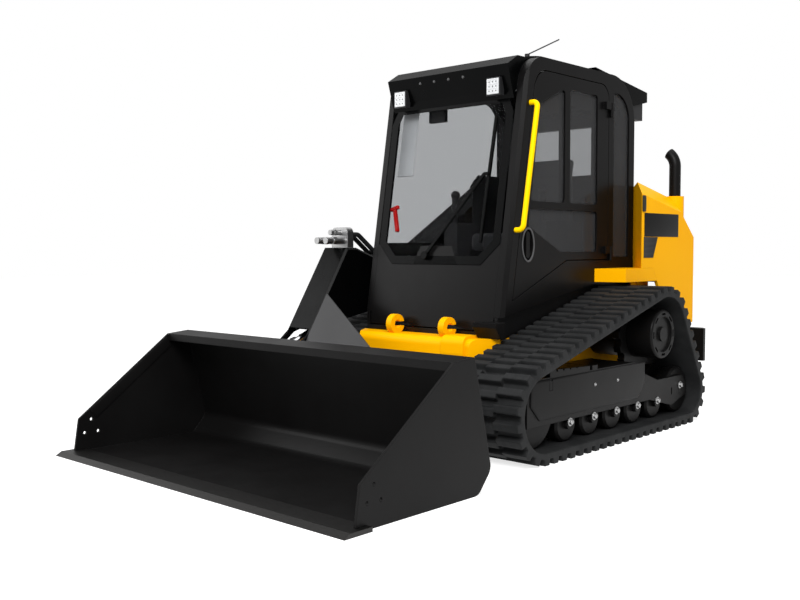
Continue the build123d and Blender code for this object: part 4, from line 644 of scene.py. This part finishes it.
axleBolt = {
    "face": 0.9,
    "washer": 0.023,
    "washerDepth": 0.004,
    "head": 0.0155,
    "headDepth": 0.012,
}
rollers = {"first": -0.014, "pitch": 0.242, "height": 0.172, "count": 5}
rearIdler = (1.25, 0.236)
coverPlate = {
    "face": 0.9,
    "lift": 0.005,
    "front": -0.385,
    "rear": 0.788,
    "low": 0.215,
    "top": 0.422,
    "cut": 0.08,
    "rim": 0.014,
    "crown": 0.0015,
    "screws": ((0.228, 0.348), (0.47, 0.348)),
}
coverScrew = {"washer": 0.01, "washerDepth": 0.0015, "head": 0.007, "headDepth": 0.004}
frameNotch = {
    "front": -0.219,
    "rear": -0.188,
    "low": 0.36,
    "top": 0.42,
    "sunk": 0.0005,
    "lift": 0.0008,
    "rim": 0.004,
    "depth": 0.001,
}


def freshRing(size, axis):
    ring = freshDisc((0, 0, 0), size["radius"], size["depth"], axis, 48)
    pickFaces(ring, looksEitherWay(*axis))
    openMiddle(size["width"])
    bpy.ops.object.mode_set(mode="OBJECT")
    ring.scale = size["stretch"]
    turnPiece(ring, size["centre"], (0, 0, 0))
    softenEdges(ring, 0.2 * min(size["width"], size["depth"]))
    return ring


def freshBolt(place, axis, bolt):
    out = Vector(axis)
    washerMiddle = Vector(place) + out * bolt["washerDepth"] / 2
    headMiddle = Vector(place) + out * (bolt["washerDepth"] + bolt["headDepth"] / 2)
    washer = freshDisc(washerMiddle, bolt["washer"], bolt["washerDepth"], axis)
    softenEdges(washer, 0.0008)
    head = freshDisc(headMiddle, bolt["head"], bolt["headDepth"], axis, 6)
    pickFaces(head, looksAlong(*axis))
    bpy.ops.mesh.inset(thickness=0.2 * bolt["head"], depth=0.08 * bolt["head"])
    softenEdges(head, 0.06 * bolt["head"])
    return joinPieces([washer, head])


def boltRow(places, axis, bolt):
    first = Vector(places[0])
    shifts = [Vector(place) - first for place in places[1:]]
    return repeatAt(freshBolt(first, axis, bolt), shifts)


def addAxleBolts(size):
    axles = [
        (rollers["first"] + rollers["pitch"] * index, rollers["height"])
        for index in range(rollers["count"])
    ] + [rearIdler]
    bolts = boltRow([(size["face"], y, z) for y, z in axles], (1, 0, 0), size)
    fitPair(bolts, "axle_bolts", "chassis", "zinc")


def addCoverPlates(size):
    face, front, rear, low = size["face"], size["front"], size["rear"], size["low"]
    cover = freshBox((face, front, low), (face + size["lift"], rear, size["top"]))
    cutCorner((0, rear, low + size["cut"]), (0, 1, -1))
    cutCorner((0, front, low + size["cut"]), (0, -1, -1))
    pickFaces(cover, looksAlong(1, 0, 0))
    bpy.ops.mesh.inset(thickness=size["rim"], depth=size["crown"])
    softenEdges(cover, 0.0012)
    outer = face + size["lift"] + size["crown"]
    screws = boltRow([(outer, y, z) for y, z in size["screws"]], (1, 0, 0), coverScrew)
    notch = freshBox(
        (outer - frameNotch["sunk"], frameNotch["front"], frameNotch["low"]),
        (outer + frameNotch["lift"], frameNotch["rear"], frameNotch["top"]),
    )
    pickFaces(notch, looksAlong(1, 0, 0))
    bpy.ops.mesh.inset(thickness=frameNotch["rim"], depth=-frameNotch["depth"])
    softenEdges(notch, 0.0003, 1)
    fitPair(notch, "frame_notch", "chassis", "deepBlack")
    fitPair(cover, "frame_cover", "chassis", "frameBlack")
    fitPair(screws, "cover_screws", "chassis", "zinc")


addAxleBolts(axleBolt)
addCoverPlates(coverPlate)

# Bolts on the visor, rim of the door latch, caps on the pins of the arm's tower

visorBolts = {
    "places": (-0.2, -0.09, 0.02, 0.13),
    "y": 0.0316,
    "z": 2.085,
    "axis": (0, -0.957, -0.29),
    "washer": 0.009,
    "washerDepth": 0.0015,
    "head": 0.0065,
    "headDepth": 0.004,
}
latchRim = {
    "centre": (0.531, 0.12, 1.114),
    "radius": 0.06,
    "width": 0.007,
    "depth": 0.008,
    "stretch": (1, 1, 1.65),
}
pinCaps = {
    "face": -0.885,
    "pins": ((1.49, 1.5), (1.45, 1.13)),
    "radius": 0.052,
    "depth": 0.012,
    "rim": 0.3,
    "crown": 0.006,
}


def addVisorBolts(size):
    places = [(x, size["y"], size["z"]) for x in size["places"]]
    bolts = boltRow(places, size["axis"], size)
    fitPiece(bolts, "visor_bolts", "chassis", "casting")


def addPinCaps(size):
    caps = []
    for y, z in size["pins"]:
        middle = (size["face"] - size["depth"] / 2, y, z)
        cap = freshDisc(middle, size["radius"], size["depth"], (-1, 0, 0))
        pickFaces(cap, looksAlong(-1, 0, 0))
        bpy.ops.mesh.inset(thickness=size["rim"] * size["radius"])
        extrudeOut(size["crown"])
        softenEdges(cap, 0.0015)
        caps.append(cap)
    fitPiece(joinPieces(caps), "tower_pin_caps", "chassis", "plated")


addVisorBolts(visorBolts)
fitPiece(freshRing(latchRim, (1, 0, 0)), "door_latch_rim", "cab_door", "casting")
addPinCaps(pinCaps)

# Strips along the slanting edges of the bucket's side plates

bucketStrip = {
    "face": 1.058,
    "knee": (-1.764, 0.186),
    "shoulder": (-1.193, 0.608),
    "inset": 0.035,
    "width": 0.06,
    "depth": 0.004,
    "lowShort": 0.08,
    "topShort": 0.025,
    "rim": 0.005,
    "crown": 0.001,
}


def addBucketStrips(size):
    (kneeY, kneeZ), (shoulderY, shoulderZ) = size["knee"], size["shoulder"]
    run, rise = shoulderY - kneeY, shoulderZ - kneeZ
    length = (run**2 + rise**2) ** 0.5
    strip = freshBox(
        (size["face"] - size["depth"], -length / 2 + size["lowShort"], -size["width"] / 2),
        (size["face"], length / 2 - size["topShort"], size["width"] / 2),
    )
    pickFaces(strip, looksAlong(-1, 0, 0))
    bpy.ops.mesh.inset(thickness=size["rim"], depth=size["crown"])
    softenEdges(strip, 0.0008)
    middleY = kneeY + run / 2 + size["inset"] * rise / length
    middleZ = kneeZ + rise / 2 - size["inset"] * run / length
    turnPiece(strip, (0, middleY, middleZ), (atan(rise / run), 0, 0))
    fitPair(strip, "bucket_strip", "bucket", "frameBlack")


addBucketStrips(bucketStrip)

# Inside the cab: monitor on its stalk, roller blind and red escape hammer

monitor = {
    "low": (-0.238, 0.155, 1.862),
    "high": (-0.111, 0.185, 2.02),
    "bezel": 0.009,
    "sink": 0.003,
    "stalk": 0.075,
    "stalkRim": 0.011,
    "stalkShare": 0.3,
}
blind = {
    "left": -0.296,
    "right": -0.421,
    "low": upFront(1.56),
    "top": upFront(2.01),
    "back": 0.05,
    "thick": 0.002,
    "bar": 0.012,
    "barSwell": 5,
}
hammer = {
    "centre": (-0.384, 0.015, 1.264),
    "length": 0.142,
    "width": 0.022,
    "tilt": radians(-17),
}


def addMonitor(size):
    screen = freshBox(size["low"], size["high"])
    pickFaces(screen, looksAlong(0, -1, 0))
    bpy.ops.mesh.inset(thickness=size["bezel"], depth=-size["sink"])
    pickFaces(screen, looksAlong(0, 0, 1))
    bpy.ops.mesh.inset(thickness=size["stalkRim"])
    bpy.ops.transform.resize(value=(size["stalkShare"], 1, 1))
    extrudeOut(size["stalk"])
    softenEdges(screen, 0.003)
    fitPiece(screen, "cab_monitor", "chassis", "grainedPlastic")


def addBlind(size):
    back = size["back"]
    sheet = freshBox(
        (size["right"], back, size["low"]), (size["left"], back + size["thick"], size["top"])
    )
    pickFaces(sheet, looksAlong(0, 0, -1))
    extrudeOut(size["bar"])
    bpy.ops.transform.resize(value=(1, size["barSwell"], 1))
    softenEdges(sheet, 0.0006, 1)
    turnPiece(sheet, cabFront["foot"], (-cabFront["lean"], 0, 0))
    fitPiece(sheet, "cab_blind", "chassis", "blindCloth")


def addHammer(size):
    thick, high = size["width"] / 2, size["length"] / 2
    grip = freshBox((-thick, -thick, -high), (thick, thick, high))
    pickFaces(grip, looksAlong(0, 0, 1))
    extrudeOut(size["width"])
    pickFaces(grip, lambda face: abs(face.normal.x) > squareOn and face.center.z > high)
    extrudeOut(size["width"])
    softenEdges(grip, 0.004, 3)
    turnPiece(grip, size["centre"], (-cabFront["lean"], size["tilt"], 0))
    fitPiece(grip, "escape_hammer", "chassis", "signalRed")


addMonitor(monitor)
addBlind(blind)
addHammer(hammer)

# Printed border along the foot of the rear window, and the paddle that opens the rear door

rearBorder = {
    "low": (-0.4, 1.245, 1.4),
    "high": (0.4, 1.248, 1.58),
    "rim": 0.01,
    "crown": 0.0005,
}
doorPaddle = {
    "low": (-0.536, 1.79, 0.84),
    "high": (-0.496, 1.798, 0.96),
    "rim": 0.007,
    "wall": 0.002,
    "sink": 0.004,
    "flapShare": (0.85, 1, 0.7),
    "flapLift": 0.009,
}


def addRearBorder(size):
    border = freshBox(size["low"], size["high"])
    pickFaces(border, looksAlong(0, -1, 0))
    bpy.ops.mesh.inset(thickness=size["rim"], depth=size["crown"])
    softenEdges(border, 0.0006, 1)
    fitPiece(border, "rear_window_border", "chassis", "deepBlack")


def addDoorPaddle(size):
    paddle = freshBox(size["low"], size["high"])
    pickFaces(paddle, looksAlong(0, 1, 0))
    bpy.ops.mesh.inset(thickness=size["rim"])
    bpy.ops.mesh.inset(thickness=size["wall"], depth=-size["sink"])
    bpy.ops.transform.resize(value=size["flapShare"])
    extrudeOut(size["flapLift"])
    softenEdges(paddle, 0.0015)
    fitPiece(paddle, "rear_door_paddle", "rear_door", "grainedPlastic")


addRearBorder(rearBorder)
addDoorPaddle(doorPaddle)

# Trim panel in the cab's right rear corner

cornerTrim = {
    "low": (-0.469, 0.88, 1.0),
    "high": (-0.466, 1.244, 1.6),
    "cut": 0.06,
    "rim": 0.02,
    "crown": 0.002,
}


def addCornerTrim(size):
    panel = freshBox(size["low"], size["high"])
    cutCorner((0, size["low"][1], size["high"][2] - size["cut"]), (0, -1, 1))
    pickFaces(panel, looksAlong(1, 0, 0))
    bpy.ops.mesh.inset(thickness=size["rim"], depth=size["crown"])
    softenEdges(panel, 0.001)
    fitPiece(panel, "cab_corner_trim", "chassis", "grainedPlastic")


addCornerTrim(cornerTrim)

# Padded seat: each cushion swells as cloth inside the room of its solid, then takes its channels

seatPads = {
    "seat_cushion": {
        "shrink": (0.94, 0.94, 0.9),
        "cap": 0.024,  # furthest that the cloth may carry a point
        "seams": (-0.13, 0.13),
        "along": 0,
    },
    "seat_back": {
        "shrink": (0.94, 0.86, 0.95),
        "cap": 0.022,
        "seams": (1.24, 1.4, 1.56),
        "along": 2,
    },
}
padCloth = {"pressure": 4, "steps": 20, "voxel": 0.008, "merge": 0.0001}
padSeam = {"groove": 0.007, "reach": 0.02}


def swellPad(pad, cap, low, high):
    rest = [point.co.copy() for point in pad.data.vertices]
    cloth = pad.modifiers.new("padding", "CLOTH")
    cloth.settings.use_pressure = True
    cloth.settings.uniform_pressure_force = padCloth["pressure"]
    cloth.settings.effector_weights.gravity = 0
    for step in range(1, padCloth["steps"] + 1):
        bpy.context.scene.frame_set(step)
    evaluated = pad.evaluated_get(bpy.context.evaluated_depsgraph_get())
    moved = [point.co.copy() for point in evaluated.to_mesh().vertices]
    evaluated.to_mesh_clear()
    pad.modifiers.remove(cloth)
    bpy.context.scene.frame_set(1)
    for point, start, end in zip(pad.data.vertices, rest, moved):
        reach = end - start
        if reach.length > cap:
            reach *= cap / reach.length
        point.co = [min(max(c, a), b) for c, a, b in zip(start + reach, low, high)]


def sewChannels(pad, along, seams):
    points = pad.data.vertices
    centre = sum((point.co for point in points), Vector()) / len(points)
    for point in points:
        near = min(abs(point.co[along] - seam) for seam in seams)
        if near < padSeam["reach"]:
            depth = padSeam["groove"] * (1 - near / padSeam["reach"]) ** 2
            point.co += (centre - point.co).normalized() * depth


def addPad(node, form):
    low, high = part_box(node)
    pad = bpy.data.objects.new(node + "_pad", frame["nodes"][node].data.copy())
    bpy.context.scene.collection.objects.link(pad)
    pad.matrix_world = frame["nodes"][node].matrix_world.copy()
    selectOnly(pad)
    bpy.ops.object.transform_apply()
    bpy.ops.object.mode_set(mode="EDIT")
    bpy.ops.mesh.select_all(action="SELECT")
    bpy.ops.mesh.remove_doubles(threshold=padCloth["merge"])
    middle = (Vector(low) + Vector(high)) / 2
    bpy.ops.transform.resize(value=form["shrink"], center_override=middle)
    bpy.ops.object.mode_set(mode="OBJECT")
    block = pad.modifiers.new("block", "REMESH")
    block.mode = "VOXEL"
    block.voxel_size = padCloth["voxel"]
    bpy.ops.object.modifier_apply(modifier=block.name)
    swellPad(pad, form["cap"], low, high)
    sewChannels(pad, form["along"], form["seams"])
    smooth = pad.modifiers.new("smooth", "SUBSURF")
    smooth.levels = 1
    bpy.ops.object.modifier_apply(modifier=smooth.name)
    bpy.ops.object.shade_smooth()
    fitPiece(pad, node + "_pad", "chassis", "fabric")
    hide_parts(node)


for node, form in seatPads.items():
    addPad(node, form)
print("bolts, cab fittings and seat pads added")


# Floor, light and camera

paleFloor = {"size": 60, "colour": (0.5, 0.5, 0.5, 1), "roughness": 0.9, "glow": 0.74}
paleRoom = {"light": 0.58, "seen": 1.0}


def whiteStage():
    bpy.ops.object.select_all(action="DESELECT")
    bpy.ops.mesh.primitive_plane_add(size=paleFloor["size"])
    floor = bpy.context.object
    floor.name = "floor"
    material, tree, shader = newMaterial(
        "paleFloor",
        {
            "Base Color": paleFloor["colour"],
            "Roughness": paleFloor["roughness"],
            "Specular IOR Level": 0.1,
            "Emission Color": (1, 1, 1, 1),
        },
    )
    # The floor glows white to the camera, to mirrors and through glass
    seen = tree.nodes.new("ShaderNodeLightPath")
    white = seen.outputs["Is Camera Ray"]
    for ray in ("Is Glossy Ray", "Is Transmission Ray"):
        either = tree.nodes.new("ShaderNodeMath")
        either.operation = "MAXIMUM"
        tree.links.new(white, either.inputs[0])
        tree.links.new(seen.outputs[ray], either.inputs[1])
        white = either.outputs[0]
    strength = tree.nodes.new("ShaderNodeMath")
    strength.operation = "MULTIPLY"
    strength.inputs[1].default_value = paleFloor["glow"]
    tree.links.new(white, strength.inputs[0])
    tree.links.new(strength.outputs[0], shader.inputs["Emission Strength"])
    floor.data.materials.append(material)


def whiteWorld():
    world = bpy.data.worlds.new("paleRoom")
    bpy.context.scene.world = world
    world.use_nodes = True
    tree = world.node_tree
    room = tree.nodes["Background"]
    seen = tree.nodes.new("ShaderNodeLightPath")
    spread = tree.nodes.new("ShaderNodeMapRange")
    spread.inputs["To Min"].default_value = paleRoom["light"]
    spread.inputs["To Max"].default_value = paleRoom["seen"]
    tree.links.new(seen.outputs["Is Camera Ray"], spread.inputs["Value"])
    tree.links.new(spread.outputs["Result"], room.inputs["Strength"])
    room.inputs["Color"].default_value = (1, 1, 1, 1)


lamps = {
    "key": {"place": (4.5, -5.5, 6.0), "aim": (0, 0, 0.9), "size": 4.0, "power": 720},
    "fill": {"place": (-5.5, -4.0, 3.5), "aim": (0, 0, 0.9), "size": 4.0, "power": 160},
    "top": {"place": (0, 1.0, 7.0), "aim": (0, 0, 0.5), "size": 6.0, "power": 260},
}


def addLamps():
    for name, lamp in lamps.items():
        data = bpy.data.lights.new(name, "AREA")
        data.size = lamp["size"]
        data.energy = lamp["power"]
        light = bpy.data.objects.new(name, data)
        bpy.context.scene.collection.objects.link(light)
        light.location = lamp["place"]
        back = Vector(lamp["place"]) - Vector(lamp["aim"])
        light.rotation_euler = back.to_track_quat("Z", "Y").to_euler()


viewpoint = {
    "place": (3.656, -4.350, 1.102),
    "turn": 42.57,
    "down": 3.15,
    "roll": -0.11,
    "lens": 43.12,
    "sensor": 36,
}


def addCamera():
    data = bpy.data.cameras.new("photoCamera")
    data.lens = viewpoint["lens"]
    data.sensor_width = viewpoint["sensor"]
    camera = bpy.data.objects.new("photoCamera", data)
    bpy.context.scene.collection.objects.link(camera)
    camera.location = viewpoint["place"]
    camera.rotation_mode = "QUATERNION"
    camera.rotation_quaternion = (
        Quaternion((0, 0, 1), radians(viewpoint["turn"]))
        @ Quaternion((1, 0, 0), radians(90 - viewpoint["down"]))
        @ Quaternion((0, 0, 1), radians(viewpoint["roll"]))
    )
    bpy.context.scene.camera = camera


whiteStage()
whiteWorld()
addLamps()
addCamera()
bpy.context.scene.view_settings.view_transform = "Standard"
print("stage set")
